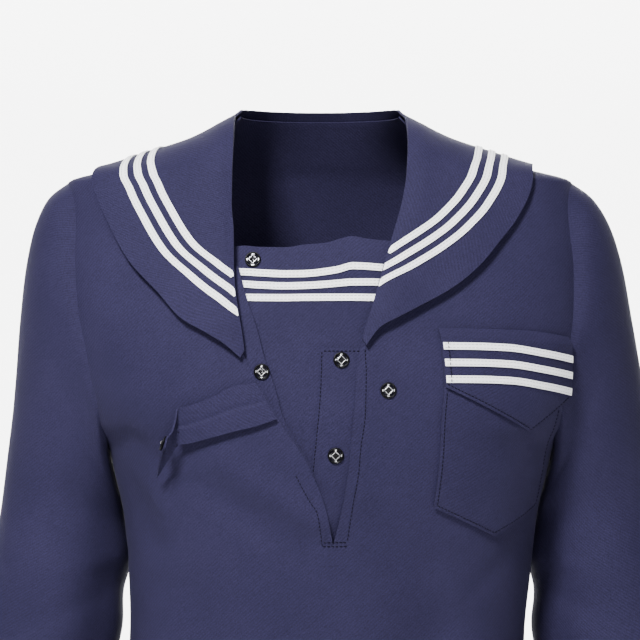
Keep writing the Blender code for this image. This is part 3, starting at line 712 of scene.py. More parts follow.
def sleeve(name, hand):
    turns = [-2 * math.pi * i / SLEEVE_SIDES for i in range(SLEEVE_SIDES)]
    first = []
    tucked = []
    for (point, normal), turn in zip(armhole_loop(hand), turns):
        along = (ring_point(1, turn) - ring_point(0, turn)).normalized()
        local = Vector((hand * (point.x - middle(point.z)), point.y, point.z))
        outward = Vector((hand * normal.x, normal.y, normal.z))
        first.append(local + along * SLEEVE_GAP)
        under = local - along * ALLOWANCE - outward * ALLOWANCE_DROP
        tucked.append((Vector((hand * under.x + middle(under.z), under.y, under.z)), None))
    rows = [tucked]
    for step in range((len(SLEEVE) - 1) * RING_STEPS + 1):
        number = step / RING_STEPS
        centre = (ring_point(number, 0.0) + ring_point(number, math.pi)) / 2
        share = max(0.0, 1.0 - number / BLEND_RINGS)
        row = []
        for i, turn in enumerate(turns):
            point = first[i]
            if step:
                point = ring_point(number, turn) + (first[i] - ring_point(0, turn)) * share
                rise = crease_rise(number, math.degrees(turn)) * min(1.0, number)
                rise += WAVE_RISE * noise.noise(point * (hand / WAVE_SIZE)) * min(1.0, number)
                point = point + (point - centre).normalized() * rise
            row.append((Vector((hand * point.x + middle(point.z), point.y, point.z)), None))
        rows.append(row)
    out = rows[40][0][0] - rows[40][SLEEVE_SIDES // 2][0]
    grid = [[point for point, _ in row] for row in rows]
    points = [point for row in grid for point in row]
    cells = grid_cells(len(rows), SLEEVE_SIDES, closed=True)
    if sheet_normals(points, cells)[40 * SLEEVE_SIDES].dot(out) < 0:
        cells = [tuple(reversed(cell)) for cell in cells]
    piece = shell(name, points, None, cells, CLOTH, sleeve_uvs(grid), NAVY, SLEEVE_ROUND)


sleeve("sleeve_left", 1)
sleeve("sleeve_right", -1)


# Collar: a double cloth that rolls at the neck, stands a little off the chest and hangs
# as a square flap behind. Its three tapes lie on the same columns.
COLLAR_CLOTH = 2.0
TAPE_CLOTH = 0.7
TAPE_WIDTH = 5.2
TAPE_PITCH = 10.0
TAPE_LEAST_END = 0.3
ROLL_MARGIN = 0.5
COLLAR_TAPE_RISE = TAPE_CLOTH + 0.25
Station = namedtuple("Station", "edge_x edge_z neck_x neck_z lift tape")
COLLAR_RIGHT = (
    Station(-58.5, -177.5, -55.6, -172, 4.5, 25.5),
    Station(-71, -167.2, -57.3, -159, 5.5, 25.5),
    Station(-86.4, -157.9, -60.2, -142, 6.5, 25.5),
    Station(-101.8, -149, -63, -122, 7, 27),
    Station(-120, -129, -64, -104, 7, 24.5),
    Station(-141.6, -105.9, -64.4, -84, 6.5, 24),
    Station(-157, -80, -66.2, -62, 6, 24),
    Station(-168, -57, -66.2, -41, 5.5, 23.5),
    Station(-173.2, -41, -65.4, -18, 5, 22),
)
COLLAR_LEFT = (
    Station(34, -168.5, 31.2, -163, 4.5, 30),
    Station(44.3, -155.5, 34.5, -151, 5.5, 30),
    Station(58, -148, 39, -138, 6.5, 30),
    Station(76, -138.6, 44, -120, 7, 32),
    Station(97.7, -126.4, 50, -100, 7, 31),
    Station(118, -109.8, 57, -77, 6.5, 27.5),
    Station(134, -91, 62, -59, 6, 23.5),
    Station(148.5, -72, 65.4, -37, 5.5, 22),
    Station(160.5, -46, 66.4, -14, 5, 21.5),
)
BackStation = namedtuple("BackStation", "edge_x edge_z bend_x bend_z neck_x neck_z")
RIDGE = 40
SHOULDER = BackStation(166, RIDGE, 106, RIDGE, 64, RIDGE)
FLAP_SIDE = (
    BackStation(167, -46, 107, -25, 60.5, 14),
    BackStation(166, -77, 106, -48, 57, 17),
    BackStation(164, -111, 104, -76, 53, 17.5),
    BackStation(161, -145, 101, -103, 48, 18),
    BackStation(158.5, -178, 98.5, -127, 43, 18),
)
FLAP_CORNER = BackStation(156, -210, 96, -150, 37, 18)
FLAP_BOTTOM = (
    BackStation(117, -211, 72, -151, 28, 18),
    BackStation(78, -212, 48, -152, 19, 18),
    BackStation(39, -212, 24, -152, 9.5, 18),
    BackStation(0, -212, 0, -152, 0, 18),
)
TAPE_ZONE = 60.0
FRONT_SKEW = 1.08
BACK_TAPE = 20.0
BACK_LIFT = 5.0
COLUMN_LEAST_SHARE = 0.04
ROLL_WIDTH = 7.0
ROLL_DROP = 1.0
COLLAR_LEAST_LIFT = 5.2
COLLAR_SWELL = 2.2
FALL_LEVEL = -60.0
SLICE_STEPS = 90
SLICE_DEPTH = 330.0
slices = {}


def ridge_height(x):
    low, high = ARMHOLE[0].height, TRUNK[0].height
    if abs(x - middle(high)) <= half_width(high):
        return high
    for _ in range(40):
        guess = (low + high) / 2
        if abs(x - middle(guess)) > half_width(guess):
            high = guess
        else:
            low = guess
    return low


def length_at(found, height):
    for (a, _, top), (b, _, low) in zip(found, found[1:]):
        if height >= low:
            return a + (b - a) * max(0.0, top - height) / (top - low)
    return found[-1][0]


def slice_at(x, behind):
    """Falls, depths and heights down the form at this x, kept for the next call."""
    key = (round(x, 2), behind)
    if key not in slices:
        top = ridge_height(x)
        depth = back_depth if behind else front_depth
        found = []
        length = 0.0
        for step in range(SLICE_STEPS + 1):
            height = top - SLICE_DEPTH * (step / SLICE_STEPS) ** 2
            across = min(1.0, abs(x - middle(height)) / half_width(height))
            y = depth(height) * (1 - across ** SQUARENESS) ** (1 / SQUARENESS)
            y = y if behind else -y
            if found:
                length += math.hypot(y - found[-1][1], height - found[-1][2])
            found.append((length, y, height))
        level = length_at(found, FALL_LEVEL)
        slices[key] = [(length - level, y, height) for length, y, height in found]
    return slices[key]


def spread(x, height, behind):
    """A place on the cloth as its x and its fall."""
    return Vector((x, length_at(slice_at(x, behind), height)))


def draped(place, behind):
    found = slice_at(place.x, behind)
    i = bisect_right(found, (place.y, math.inf)) - 1
    i = min(max(0, i), len(found) - 2)
    start, end = found[i], found[i + 1]
    share = max(0.0, (place.y - start[0]) / (end[0] - start[0]))
    y = start[1] + (end[1] - start[1]) * share
    height = start[2] + (end[2] - start[2]) * share
    turn = turn_at_x(place.x, height)
    return Vector((place.x, y, height)), form_normal(-turn if behind else turn, height)


Path = namedtuple("Path", "edge bend neck lift tape behind")


def front_path(row):
    edge = spread(row.edge_x, row.edge_z, False)
    neck = spread(row.neck_x, row.neck_z, False)
    bend = edge + (neck - edge).normalized() * TAPE_ZONE * FRONT_SKEW
    return Path(edge, bend, neck, row.lift, row.tape / FRONT_SKEW, False)


def back_path(row, hand, behind=True):
    edge = spread(hand * row.edge_x, row.edge_z, behind)
    bend = spread(hand * row.bend_x, row.bend_z, behind)
    neck = spread(hand * row.neck_x, row.neck_z, behind)
    return Path(edge, bend, neck, BACK_LIFT, BACK_TAPE, behind)


def filled(paths, parts, smooth=False):
    """The paths with more between each two, on straight lines or on smooth curves."""
    if not smooth:
        found = []
        for a, b in zip(paths, paths[1:]):
            for i in range(parts):
                values = [u + (v - u) * (i / parts) for u, v in zip(a[:-1], b[:-1])]
                found.append(Path(*values, a.behind))
        return found + [paths[-1]]
    flats = [[*path.edge, *path.neck, path.lift, path.tape] for path in paths]
    curves = [curve_through(range(len(flats)), values) for values in zip(*flats)]
    found = []
    for number in between(0, len(paths) - 1, parts * (len(paths) - 1)):
        edge_x, edge_y, neck_x, neck_y, lift, tape = [curve(number) for curve in curves]
        edge = Vector((edge_x, edge_y))
        neck = Vector((neck_x, neck_y))
        bend = edge + (neck - edge).normalized() * TAPE_ZONE * FRONT_SKEW
        found.append(Path(edge, bend, neck, lift, tape, False))
    return found


def side_paths(table, hand):
    before = [front_path(row) for row in table]
    ridge = back_path(SHOULDER, hand, False)
    behind = [back_path(row, hand) for row in (SHOULDER, *FLAP_SIDE, FLAP_CORNER)]
    return filled([*before, ridge], 8, True)[:-1] + filled(behind[:2], 14) + filled(behind[1:], 6)[1:]


def collar_paths():
    """Paths across the collar, from the V's right end round the back to its left end."""
    right = side_paths(COLLAR_RIGHT, -1)
    left = side_paths(COLLAR_LEFT, 1)
    bottom = [back_path(row, -1) for row in FLAP_BOTTOM]
    bottom += [back_path(row, 1) for row in reversed(FLAP_BOTTOM[:-1])]
    return right + filled([right[-1], *bottom, left[-1]], 6)[1:-1] + left[::-1]


PATHS = collar_paths()


def path_length(path):
    zone = (path.bend - path.edge).length
    if (path.neck - path.edge).length < zone:
        return TAPE_ZONE * (path.neck - path.edge).length / zone
    return TAPE_ZONE + (path.neck - path.bend).length


def collar_point(path, inset, rise):
    """The collar's outer face at this inset from its edge, moved out by a rise."""
    whole = path_length(path)
    if inset <= TAPE_ZONE:
        place = path.edge + (path.bend - path.edge) * inset / TAPE_ZONE
    else:
        place = path.bend + (path.neck - path.bend).normalized() * (inset - TAPE_ZONE)
    point, normal = draped(place, path.behind)
    from_roll = whole - inset
    lift = COLLAR_LEAST_LIFT + (path.lift - COLLAR_LEAST_LIFT) * math.exp(-((inset / 30) ** 2))
    lift += COLLAR_SWELL * min(1.0, from_roll / 14) * math.exp(-((from_roll / 26) ** 2))
    lift -= ROLL_DROP * max(0.0, 1 - from_roll / ROLL_WIDTH)
    lift += 0.5 * noise.noise(point / 40)
    return point + normal * (lift + rise), normal


def tape_insets(path, number):
    start = path.tape + TAPE_PITCH * number
    return start, start + TAPE_WIDTH


def collar_columns(path):
    """Insets of the collar's edge, both edges of each tape, and its roll."""
    whole = path_length(path)
    insets = [0.0]
    for number in range(3):
        insets += tape_insets(path, number)
    insets.append(whole)
    count = len(insets) - 1
    least = whole * COLUMN_LEAST_SHARE
    return [min(inset, whole - (count - i) * least) for i, inset in enumerate(insets)]


def collar_insets(path):
    columns = collar_columns(path)
    insets = [columns[0]]
    for a, b, cells in zip(columns, columns[1:], (8, 3, 2, 3, 2, 3, 22)):
        insets += between(a, b, cells)[1:]
    return insets


collar_rows = [[collar_point(path, inset, 0.0) for inset in collar_insets(path)] for path in PATHS]
COLLAR_PIECE, COLLAR_AREA = grid_shell("collar", collar_rows, COLLAR_CLOTH, NAVY)


def woven_tape(name):
    """White cotton tape: fine ribs across it, a plain weave and a little uneven shade."""
    cloth, shader, add = finish_named(name)
    links = cloth.node_tree.links
    place = add("ShaderNodeUVMap", uv_map="cloth").outputs["UV"]
    ribs = {"Vector": place, "Scale": 420.0, "Distortion": 0.4}
    rib = add("ShaderNodeTexWave", ribs, bands_direction="Y")
    threads = {"Vector": place, "Scale": 380.0, "Distortion": 0.5}
    thread = add("ShaderNodeTexWave", threads, bands_direction="X")
    tone = add("ShaderNodeMix", {}, data_type="RGBA")
    links.new(rib.outputs["Fac"], tone.inputs[0])
    tone.inputs[6].default_value = (0.66, 0.66, 0.68, 1)
    tone.inputs[7].default_value = (0.80, 0.80, 0.82, 1)
    links.new(tone.outputs[2], shader.inputs["Base Color"])
    both = add("ShaderNodeMath", {0: rib.outputs["Fac"], 1: thread.outputs["Fac"]}, operation="ADD")
    bump = add("ShaderNodeBump", {"Height": both.outputs[0], "Strength": 0.5, "Distance": 0.0002})
    links.new(bump.outputs["Normal"], shader.inputs["Normal"])
    set_inputs(shader, Roughness=0.75, Specular_IOR_Level=0.3)
    return cloth


TAPE = woven_tape("white_tape")


def collar_tape(number):
    rows = []
    for path in PATHS:
        start, end = tape_insets(path, number)
        end = min(end, path_length(path) - ROLL_MARGIN)
        if end - start > TAPE_LEAST_END:
            rows.append([collar_point(path, inset, COLLAR_TAPE_RISE) for inset in between(start, end, 3)])
    return grid_shell(f"collar_tape_{number + 1}", rows, TAPE_CLOTH, TAPE)[0]


collar_tapes = [collar_tape(number) for number in range(3)]


# Chest panel behind the V, with three tapes across it
CHEST = rows_of(
    "x top first second third",
    (-80, -95, -110.4, -119.4, -129.9),
    (-57.4, -91.2, -111.5, -120.7, -130.8),
    (-45.7, -92.2, -112.2, -121.5, -131),
    (-26.8, -92.5, -113.1, -122.2, -131.1),
    (-12, -90.5, -112.9, -121.9, -130.9),
    (4.7, -89, -111.2, -120.9, -130.8),
    (14, -86.2, -109.6, -120.1, -130.8),
    (24.8, -83.9, -106.9, -119.3, -130.8),
    (36.3, -85.9, -107.4, -119.2, -130.9),
    (54.2, -87.4, -108.8, -119.7, -131.3),
    (72, -88, -109.4, -119.9, -131.5),
)
CHEST_BOTTOM = -272
CHEST_NARROWING = 0.55
CHEST_TAPE_LIFT = CHEST_LIFT + TAPE_CLOTH + 0.3
CHEST_TAPE_SHARE = 0.94


def chest_panel():
    top = column(CHEST, "x", "top")
    rows = []
    for share in between(0.0, 1.0, 60):
        row = []
        for x in between(CHEST[0].x, CHEST[-1].x, 60):
            height = top(x) + (CHEST_BOTTOM - top(x)) * share
            row.append(front_point(x * (1 - (1 - CHEST_NARROWING) * share), height, CHEST_LIFT))
        rows.append(row)
    return grid_shell("chest_panel", rows, CLOTH, NAVY)


CHEST_PIECE, CHEST_AREA = chest_panel()


def chest_tape(number, name):
    centre = column(CHEST, "x", name)
    rows = []
    for edge in between(TAPE_WIDTH / 2, -TAPE_WIDTH / 2, 3):
        xs = between(CHEST[0].x * CHEST_TAPE_SHARE, CHEST[-1].x * CHEST_TAPE_SHARE, 60)
        rows.append([front_point(x, centre(x) + edge, CHEST_TAPE_LIFT) for x in xs])
    rows = [list(row) for row in zip(*rows)]
    return grid_shell(f"chest_tape_{number}", rows, TAPE_CLOTH, TAPE)[0]


chest_tapes = [chest_tape(number, name) for number, name in enumerate(("first", "second", "third"), 1)]


# The turned edge that shows inside the slit, and the underlap behind it
STRIP_COLUMNS = "height right left"
FACING = rows_of(
    STRIP_COLUMNS,
    (-108, -76, -61.5),
    (-132, -73, -54.9),
    (-153.5, -70, -47.6),
    (-177.5, -66, -41.1),
    (-195, -56, -34.8),
    (-223, -40, -26.6),
    (-241, -28, -17),
    (-258, -18, -6.6),
    (-268, -15, -3),
)
UNDERLAP = rows_of(
    STRIP_COLUMNS,
    (-169, 0.4, 43),
    (-188, 0, 42),
    (-208, -1, 41),
    (-230, -3, 39),
    (-252, -5.2, 37),
    (-276, -7, 33),
    (-300, -6, 28),
    (-322, -4, 24),
)


def strip(name, table, lift):
    right = column(table, "height", "right")
    left = column(table, "height", "left")
    rows = []
    for height in between(table[0].height, table[-1].height, 60):
        xs = between(right(height), left(height), 12)
        rows.append([front_point(x, height, lift) for x in xs])
    piece, area = grid_shell(name, rows, CLOTH, NAVY)


strip("edge_facing", FACING, FACING_LIFT)
strip("underlap", UNDERLAP, UNDERLAP_LIFT)


# Pocket and flap, laid along the cloth from their inner edge, and the flap's tapes
SEWN_LIFT = 1.7
POCKET_LIFT = 2.8
FLAP_LIFT = 5.3
FLAP_TAPE_LIFT = FLAP_LIFT + TAPE_CLOTH + 0.3
EDGE_COLUMNS = "height x"
POCKET_EDGE = rows_of(
    EDGE_COLUMNS,
    (-312, 82),
    (-288, 84),
    (-264, 86.9),
    (-249, 88.3),
    (-223, 89.7),
    (-198, 91.6),
    (-166, 89.3),
)
FLAP_EDGE = rows_of(
    EDGE_COLUMNS,
    (-234, 94),
    (-199, 92),
    (-166, 89.3),
    (-154, 87),
)
OUTLINE_COLUMNS = "along top bottom"
POCKET = rows_of(
    OUTLINE_COLUMNS,
    (0, -163, -288),
    (53, -163, -311.4),
    (106, -165, -291),
)
FLAP = rows_of(
    OUTLINE_COLUMNS,
    (0, -155, -199),
    (69, -157, -232),
    (111, -162, -207),
)
FLAP_TAPE = rows_of(
    "along height",
    (0.8, -169.3),
    (25, -169.5),
    (50, -170.4),
    (80, -174.4),
    (110, -178.9),
)
FLAP_TAPE_STEP = 12.0
ALONG_STEP = 0.01


def along_front(inner_x, height, along, lift):
    turn = turn_at_x(inner_x, height)
    length = 0.0
    place = bare_form(turn, height)
    while length < along:
        following = bare_form(turn - ALONG_STEP, height)
        step = (following - place).length
        if length + step > along:
            turn -= ALONG_STEP * (along - length) / step
            break
        length += step
        turn -= ALONG_STEP
        place = following
    return form(turn, height, lift)


def straight(corners, along):
    for (start, low), (end, high) in zip(corners, corners[1:]):
        if along <= end:
            return low + (high - low) * (along - start) / (end - start)
    return corners[-1][1]


def patch(name, outline, inner_edge, lift):
    top = column(outline, "along", "top")
    edge = column(inner_edge, "height", "x")
    bottoms = [(row.along, row.bottom) for row in outline]
    places = between(bottoms[0][0], bottoms[1][0], 24) + between(bottoms[1][0], bottoms[2][0], 24)[1:]
    rows = []
    for share in between(0.0, 1.0, 50):
        row = []
        for along in places:
            low = straight(bottoms, along)
            height = top(along) + (low - top(along)) * share
            pressed = min(1.0, share / 0.12) if inner_edge is FLAP_EDGE else 1.0
            row.append(along_front(edge(height), height, along, SEWN_LIFT + (lift - SEWN_LIFT) * pressed))
        rows.append(row)
    return grid_shell(name, rows, CLOTH, NAVY)


pocket, pocket_area = patch("pocket", POCKET, POCKET_EDGE, POCKET_LIFT)
FLAP_PIECE, FLAP_AREA = patch("pocket_flap", FLAP, FLAP_EDGE, FLAP_LIFT)


def flap_tape(number):
    edge = column(FLAP_EDGE, "height", "x")
    centre = column(FLAP_TAPE, "along", "height")
    rows = []
    for along in between(FLAP_TAPE[0].along, FLAP_TAPE[-1].along, 44):
        row = []
        for side in between(TAPE_WIDTH / 2, -TAPE_WIDTH / 2, 3):
            height = centre(along) - FLAP_TAPE_STEP * number + side
            row.append(along_front(edge(height), height, along, FLAP_TAPE_LIFT))
        rows.append(row)
    return grid_shell(f"flap_tape_{number + 1}", rows, TAPE_CLOTH, TAPE)[0]


flap_tapes = [flap_tape(number) for number in range(3)]


# Scarf tab, folded back towards the wearer's right with its end standing off the cloth
TAB_CLOTH = 1.5
TAB_OVERLAP = 1.1
SCARF_TAB = rows_of(
    "top_x top_z top_lift low_x low_z low_lift",
    (-47.2, -195.5, 2.3, -31.6, -222.2, 2.3),
    (-58.4, -197.1, 3.2, -46.4, -227.2, 3.0),
    (-66.3, -199.4, 4.0, -61.3, -230.8, 3.8),
    (-76.4, -205, 4.6, -76.4, -234.9, 4.6),
    (-86.4, -209.2, 5.0, -88, -238, 5.2),
    (-96.5, -212.7, 6.0, -97, -240, 6.4),
    (-102.6, -214.7, 8.0, -102.3, -239.8, 8.0),
    (-102.4, -222.1, 11.5, -103.3, -243.1, 8.6),
    (-102.6, -228.9, 16.0, -107.0, -249.2, 8.5),
    (-105.0, -233.0, 19.5, -112.2, -257.6, 8.3),
    (-104.8, -239.3, 22.0, -117.3, -266.0, 8.0),
)


def tab_point(number, share, lift=0.0):
    value = {name: numbered(SCARF_TAB, name)(number) for name in SCARF_TAB[0]._fields}
    x = value["top_x"] + (value["low_x"] - value["top_x"]) * share
    height = value["top_z"] + (value["low_z"] - value["top_z"]) * share
    rise = value["top_lift"] + (value["low_lift"] - value["top_lift"]) * share
    turn = turn_at_x(x, height)
    return bare_form(turn, height) + form_normal(turn, height) * (rise + lift)


def scarf_tab():
    rows = []
    shares = between(0.0, 0.52, 10) + between(0.54, 1.0, 9)
    for number in between(0, len(SCARF_TAB) - 1, 72):
        fade = min(1.0, max(0.0, 7.0 - number))
        row = []
        for share in shares:
            dip = -0.5 * math.exp(-(((share - 0.52) / 0.1) ** 2))
            lift = fade * (TAB_OVERLAP if share > 0.53 else dip)
            row.append((tab_point(number, share, lift), Vector((0, -1, 0))))
        rows.append(row)
    points = [point for row in rows for point, _ in row]
    cells = grid_cells(len(rows), len(rows[0]))
    if sheet_normals(points, cells)[0].y > 0:
        cells = [tuple(reversed(cell)) for cell in cells]
    uvs = grid_uvs([[point for point, _ in row] for row in rows])
    piece = shell("scarf_tab", points, None, cells, TAB_CLOTH, uvs, NAVY)


scarf_tab()


# Press studs: black enamel worn to bright metal, with a painted highlight on one side of each ball's top,
# sewn on through four holes
def metal(name, dark, bright, threshold, roughness):
    finish, shader, add = finish_named(name)
    links = finish.node_tree.links
    place = add("ShaderNodeTexCoord").outputs["Object"]
    wear = add("ShaderNodeTexNoise", {"Vector": place, "Scale": 520.0, "Detail": 4.0})
    ramp = add("ShaderNodeValToRGB", {"Fac": wear.outputs["Fac"]})
    two_tones(ramp, threshold, (dark, dark, dark * 1.1), threshold + 0.2, (bright, bright, bright * 1.03))
    links.new(ramp.outputs["Color"], shader.inputs["Base Color"])
    bump = add("ShaderNodeBump", {"Height": wear.outputs["Fac"], "Strength": 0.2, "Distance": 0.0001})
    links.new(bump.outputs["Normal"], shader.inputs["Normal"])
    set_inputs(shader, Metallic=0.9, Roughness=roughness)
    return finish


ENAMEL = metal("black_enamel", 0.006, 0.05, 0.6, 0.35)
# The bright metal also serves as the painted highlight on one side of each ball's top.
BRIGHT_METAL_AND_HIGHLIGHT = metal("bright_metal_and_highlight", 0.18, 0.55, 0.4, 0.3)

STUDS = rows_of(
    "name x z lift kind",
    ("stud_chest", -50.8, -102, CHEST_LIFT, "ball"),
    ("stud_facing", -43.4, -187.1, FACING_LIFT, "ball"),
    ("stud_underlap_top", 15.9, -178, UNDERLAP_LIFT, "socket"),
    ("stud_underlap_low", 11.7, -249.6, UNDERLAP_LIFT, "socket"),
    ("stud_front", 50.6, -201.1, 0.0, "socket"),
)
STUD_RADIUS = 6.0
STUD_RINGS = 30
STUD_SIDES = 72
STUD_GAP = 0.3
TAB_STUD_GAP = 1.6
TAB_STUD_INSET = 7.5


def eased(value, low, high):
    share = min(1.0, max(0.0, (value - low) / (high - low)))
    return share * share * (3 - 2 * share)


def in_hole(radius, angle):
    """How deep inside one of the four sewing holes, from 0 to 1."""
    off = (math.degrees(angle) % 90) - 45
    return max(0.0, 1 - math.hypot((radius - 4.15) / 0.75, math.radians(off) * radius / 1.45))


def stud_height(kind, radius, angle):
    diamond = radius * (abs(math.cos(angle)) + abs(math.sin(angle)))
    height = 0.7 + 0.7 * eased(radius, 4.6, 5.2) * (1 - eased(radius, 5.5, 6.0))
    height += 1.1 * eased(diamond, 2.5, 2.9) * (1 - eased(diamond, 3.5, 4.2))
    height -= 0.5 * (1 - eased(diamond, 2.3, 2.7))
    if kind == "ball":
        height += 2.9 * math.sqrt(max(0.0, 1 - (radius / 2.0) ** 2))
    return height - 0.5 * eased(in_hole(radius, angle), 0.0, 0.4)


def stud_finish(kind, radius, angle):
    """The finish of one face: 0 enamel, 1 bright metal, and on one side of a ball's top a painted
    highlight, 2 the thread in a hole, darker than navy as painted shade.
    """
    diamond = radius * (abs(math.cos(angle)) + abs(math.sin(angle)))
    off = abs((math.degrees(angle) + 45) % 90 - 45)
    if in_hole(radius, angle) > 0.12:
        return 2
    if 2.7 < diamond < 3.6 or (diamond >= 3.6 and radius < 4.6 and off < 9):
        return 1
    # On a ball, the bright crescent on one side of its top is a painted highlight, not a metal part.
    return 1 if kind == "ball" and 0.9 < radius < 1.5 and math.cos(angle) > 0.3 else 0


def press_stud(name, centre, axis, kind):
    up = Vector((0, 0, 1))
    up = (up - axis * up.dot(axis)).normalized()
    side = up.cross(axis)
    points = []
    faces = []
    finishes = []
    radii = between(0.3, STUD_RADIUS, STUD_RINGS)
    angles = [2 * math.pi * i / STUD_SIDES for i in range(STUD_SIDES)]
    for radius in radii:
        for angle in angles:
            spoke = side * math.cos(angle) + up * math.sin(angle)
            points.append(centre + spoke * radius + axis * stud_height(kind, radius, angle))
    for angle in angles:
        points.append(centre + (side * math.cos(angle) + up * math.sin(angle)) * STUD_RADIUS)
    for cell in grid_cells(STUD_RINGS + 2, STUD_SIDES, closed=True):
        faces.append(cell)
        ring = cell[0] // STUD_SIDES
        radius = (radii[ring] + radii[min(ring + 1, STUD_RINGS)]) / 2
        finishes.append(stud_finish(kind, radius, angles[cell[0] % STUD_SIDES] + math.pi / STUD_SIDES))
    faces.append(tuple(reversed(range(STUD_SIDES))))
    faces.append(tuple(range(STUD_SIDES * (STUD_RINGS + 1), STUD_SIDES * (STUD_RINGS + 2))))
    finishes += [0, 0]
    piece = linked(f"{name}_metal", points, faces)
    for finish in (ENAMEL, BRIGHT_METAL_AND_HIGHLIGHT, NAVY_THREAD_AND_SEAM_SHADE):
        piece.data.materials.append(finish)
    piece.data.polygons.foreach_set("material_index", finishes)
    face_outward(piece.data)
    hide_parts(name)


def thread(name, colour):
    """Twisted sewing thread."""
    yarn, shader, add = finish_named(name)
    place = add("ShaderNodeTexCoord").outputs["Object"]
    ply = add("ShaderNodeTexNoise", {"Vector": place, "Scale": 2600.0, "Detail": 1.0})
    ramp = add("ShaderNodeValToRGB", {"Fac": ply.outputs["Fac"]})
    two_tones(ramp, 0.35, [value * 0.6 for value in colour], 0.65, colour)
    yarn.node_tree.links.new(ramp.outputs["Color"], shader.inputs["Base Color"])
    set_inputs(shader, Roughness=0.95, Specular_IOR_Level=0.08)
    return yarn


# The navy thread is much darker than the cloth's own navy: partly painted shade, standing in for the
# shadows along the seams and in the stitch holes.
NAVY_THREAD_AND_SEAM_SHADE = thread("navy_thread_and_seam_shade", (0.003, 0.0027, 0.008))
WHITE_THREAD = thread("white_thread", (0.42, 0.42, 0.44))

for stud in STUDS:
    point, normal = front_point(stud.x, stud.z, stud.lift + STUD_GAP)
    press_stud(stud.name, point, normal, stud.kind)


def tab_stud():
    """The tab's own stud, on the outer side of its free end."""
    last = len(SCARF_TAB) - 1
    corner = tab_point(last, 0.0)
    down = (tab_point(last, 1.0) - corner).normalized()
    in_from_end = (tab_point(last - 2, 0.0) - corner).normalized()
    centre = corner + (down + in_from_end) * TAB_STUD_INSET
    axis = down.cross(in_from_end).normalized()
    if axis.x > 0:
        axis = -axis
    gap = TAB_STUD_GAP + (TAB_CLOTH if axis.y > 0 else 0.0)
    press_stud("stud_tab", centre + axis * gap, axis, "ball")


tab_stud()


# Stitches: short capsules of thread along lines on the cloth
STITCH = 2.1
STITCH_PITCH = 2.9
STITCH_RADIUS = 0.2
NAVY_RADIUS = 0.38
STITCH_SIDES = 5


def stitch_places(line):
    """Centre, direction and outward normal of each stitch along a line."""
    lengths = [0.0]
    for (a, _), (b, _) in zip(line, line[1:]):
        lengths.append(lengths[-1] + (b - a).length)
    count = int(lengths[-1] / STITCH_PITCH)
    places = []
    for number in range(count):
        along = (number + 0.5) * lengths[-1] / count
        i = min(bisect_right(lengths, along), len(line) - 1) - 1
        (a, normal_a), (b, normal_b) = line[i], line[i + 1]
        share = (along - lengths[i]) / max(lengths[i + 1] - lengths[i], 0.001)
        places.append((a.lerp(b, share), (b - a).normalized(), normal_a.lerp(normal_b, share).normalized()))
    return places


def stitches(name, lines, yarn, radius=STITCH_RADIUS):
    points = []
    faces = []
    for line in lines:
        for centre, along, normal in stitch_places(line):
            side = along.cross(normal).normalized()
            first = len(points)
            for share, size, drop in ((-0.5, 0.45, 0.8), (-0.3, 1, 0.15), (0.3, 1, 0.15), (0.5, 0.45, 0.8)):
                for i in range(STITCH_SIDES):
                    angle = 2 * math.pi * i / STITCH_SIDES
                    spoke = (side * math.cos(angle) + normal * math.sin(angle)) * radius * size
                    points.append(centre + along * STITCH * share + spoke - normal * radius * drop)
            for cell in grid_cells(4, STITCH_SIDES, closed=True):
                faces.append(tuple(first + i for i in cell))
            faces.append(tuple(first + i for i in reversed(range(STITCH_SIDES))))
            faces.append(tuple(first + 3 * STITCH_SIDES + i for i in range(STITCH_SIDES)))
    piece = linked(name, points, faces)
    face_outward(piece.data)
    piece.data.materials.append(yarn)


TAPE_STITCH_INSET = 1.3
SEWN_OFFS = (TAPE_STITCH_INSET - TAPE_WIDTH / 2, TAPE_WIDTH / 2 - TAPE_STITCH_INSET)
ON_CLOTH = 0.2


def collar_tape_lines():
    lines = []
    for number in range(3):
        for inset_in_tape in (TAPE_WIDTH / 2 + off for off in SEWN_OFFS):
            line = []
            for path in PATHS:
                inset = tape_insets(path, number)[0] + inset_in_tape
                if inset < path_length(path) - ROLL_MARGIN:
                    line.append(collar_point(path, inset, COLLAR_TAPE_RISE + ON_CLOTH))
            lines.append(line)
    return lines


def chest_tape_lines():
    lines = []
    for name in ("first", "second", "third"):
        centre = column(CHEST, "x", name)
        for off in SEWN_OFFS:
            xs = between(-74, 66, 70)
            lines.append([front_point(x, centre(x) + off, CHEST_TAPE_LIFT + ON_CLOTH) for x in xs])
    return lines


def flap_tape_lines():
    edge = column(FLAP_EDGE, "height", "x")
    centre = column(FLAP_TAPE, "along", "height")
    lines = []
    for number in range(3):
        for off in SEWN_OFFS:
            line = []
            for along in between(1.5, 109, 50):
                height = centre(along) - FLAP_TAPE_STEP * number + off
                line.append(along_front(edge(height), height, along, FLAP_TAPE_LIFT + ON_CLOTH))
            lines.append(line)
    return lines


stitches("tape_stitches", collar_tape_lines() + chest_tape_lines() + flap_tape_lines(), WHITE_THREAD)

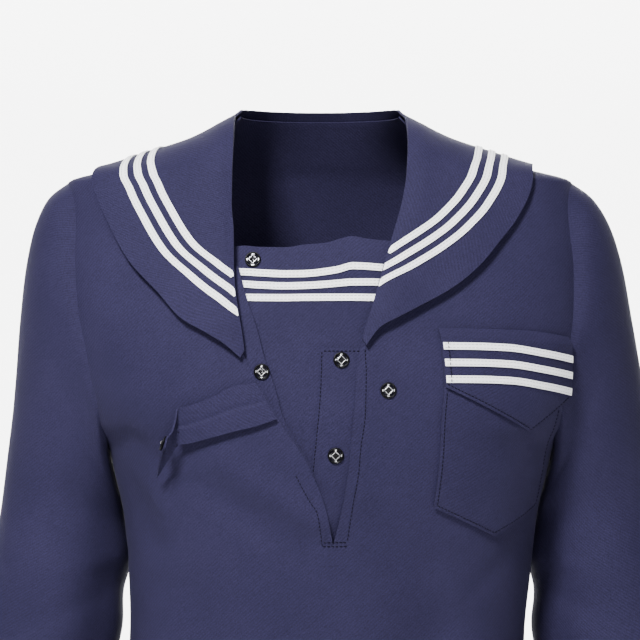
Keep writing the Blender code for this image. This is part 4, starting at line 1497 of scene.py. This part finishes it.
# Places on the front, in x and height, of the slit's two sewn edges and its bar
SLIT_COLUMNS = "x z"
SLIT_LEFT = rows_of(
    SLIT_COLUMNS,
    (33.4, -170.5),
    (34.2, -187.6),
    (33.4, -220.3),
    (30.4, -241.8),
    (28.5, -263),
    (25, -282.7),
    (22, -302),
    (20.4, -313),
)
SLIT_RIGHT = rows_of(
    SLIT_COLUMNS,
    (-18, -264),
    (-7.8, -282.7),
    (-2.2, -291.2),
    (0, -303),
    (1.6, -317),
)


def on_front(table, lift=ON_CLOTH):
    curve = column(table, "z", "x")
    steps = between(table[0].z, table[-1].z, 60)
    return [front_point(curve(height), height, lift) for height in steps]


def across_front(x, to_x, height, lift=ON_CLOTH):
    return [front_point(place, height, lift) for place in between(x, to_x, 30)]


def underlap_edge(top, bottom, inset):
    curve = column(UNDERLAP, "height", "right")
    steps = between(top, bottom, 60)
    return [front_point(curve(height) + inset, height, UNDERLAP_LIFT + ON_CLOTH) for height in steps]


def pocket_line(places, edge, lift):
    curve = column(edge, "height", "x")
    line = []
    for (along, height), (to_along, to_height) in zip(places, places[1:]):
        for share in between(0.0, 1.0, 30)[:-1]:
            level = height + (to_height - height) * share
            reach = along + (to_along - along) * share
            line.append(along_front(curve(level), level, reach, lift))
    return line


def hem_line(height):
    turns = [turn if turn <= math.pi else turn - 2 * math.pi for turn in between(0, 2 * math.pi, 220)]
    return [form(turn, height, hem_rise(height) + ON_CLOTH) for turn in turns]


# The dark navy stitch lines also stand in for seam shadows; the line along the underlap's edge is there
# mostly as painted shadow under that edge.
navy_lines = [
    on_front(SLIT_LEFT),
    on_front(SLIT_RIGHT),
    across_front(1.6, 20.4, -317),
    across_front(2.2, 19.8, -314),
    across_front(2.5, 30, -171.3, UNDERLAP_LIFT + ON_CLOTH),
    underlap_edge(-171.3, -300, 1.0),
    pocket_line(((2.4, -203), (2.4, -286.5), (53, -308.8), (103.6, -289), (103.6, -214)), POCKET_EDGE,
                POCKET_LIFT + ON_CLOTH),
    pocket_line(((1.2, -196.8), (69, -229.6), (109.6, -205.8)), FLAP_EDGE, FLAP_LIFT + ON_CLOTH),
    pocket_line(((4.6, -165.6), (4.6, -197)), FLAP_EDGE, FLAP_TAPE_LIFT + ON_CLOTH),
    hem_line(HEM + HEM_DEPTH - 2.5),
]
stitches("navy_stitches", navy_lines, NAVY_THREAD_AND_SEAM_SHADE, NAVY_RADIUS)
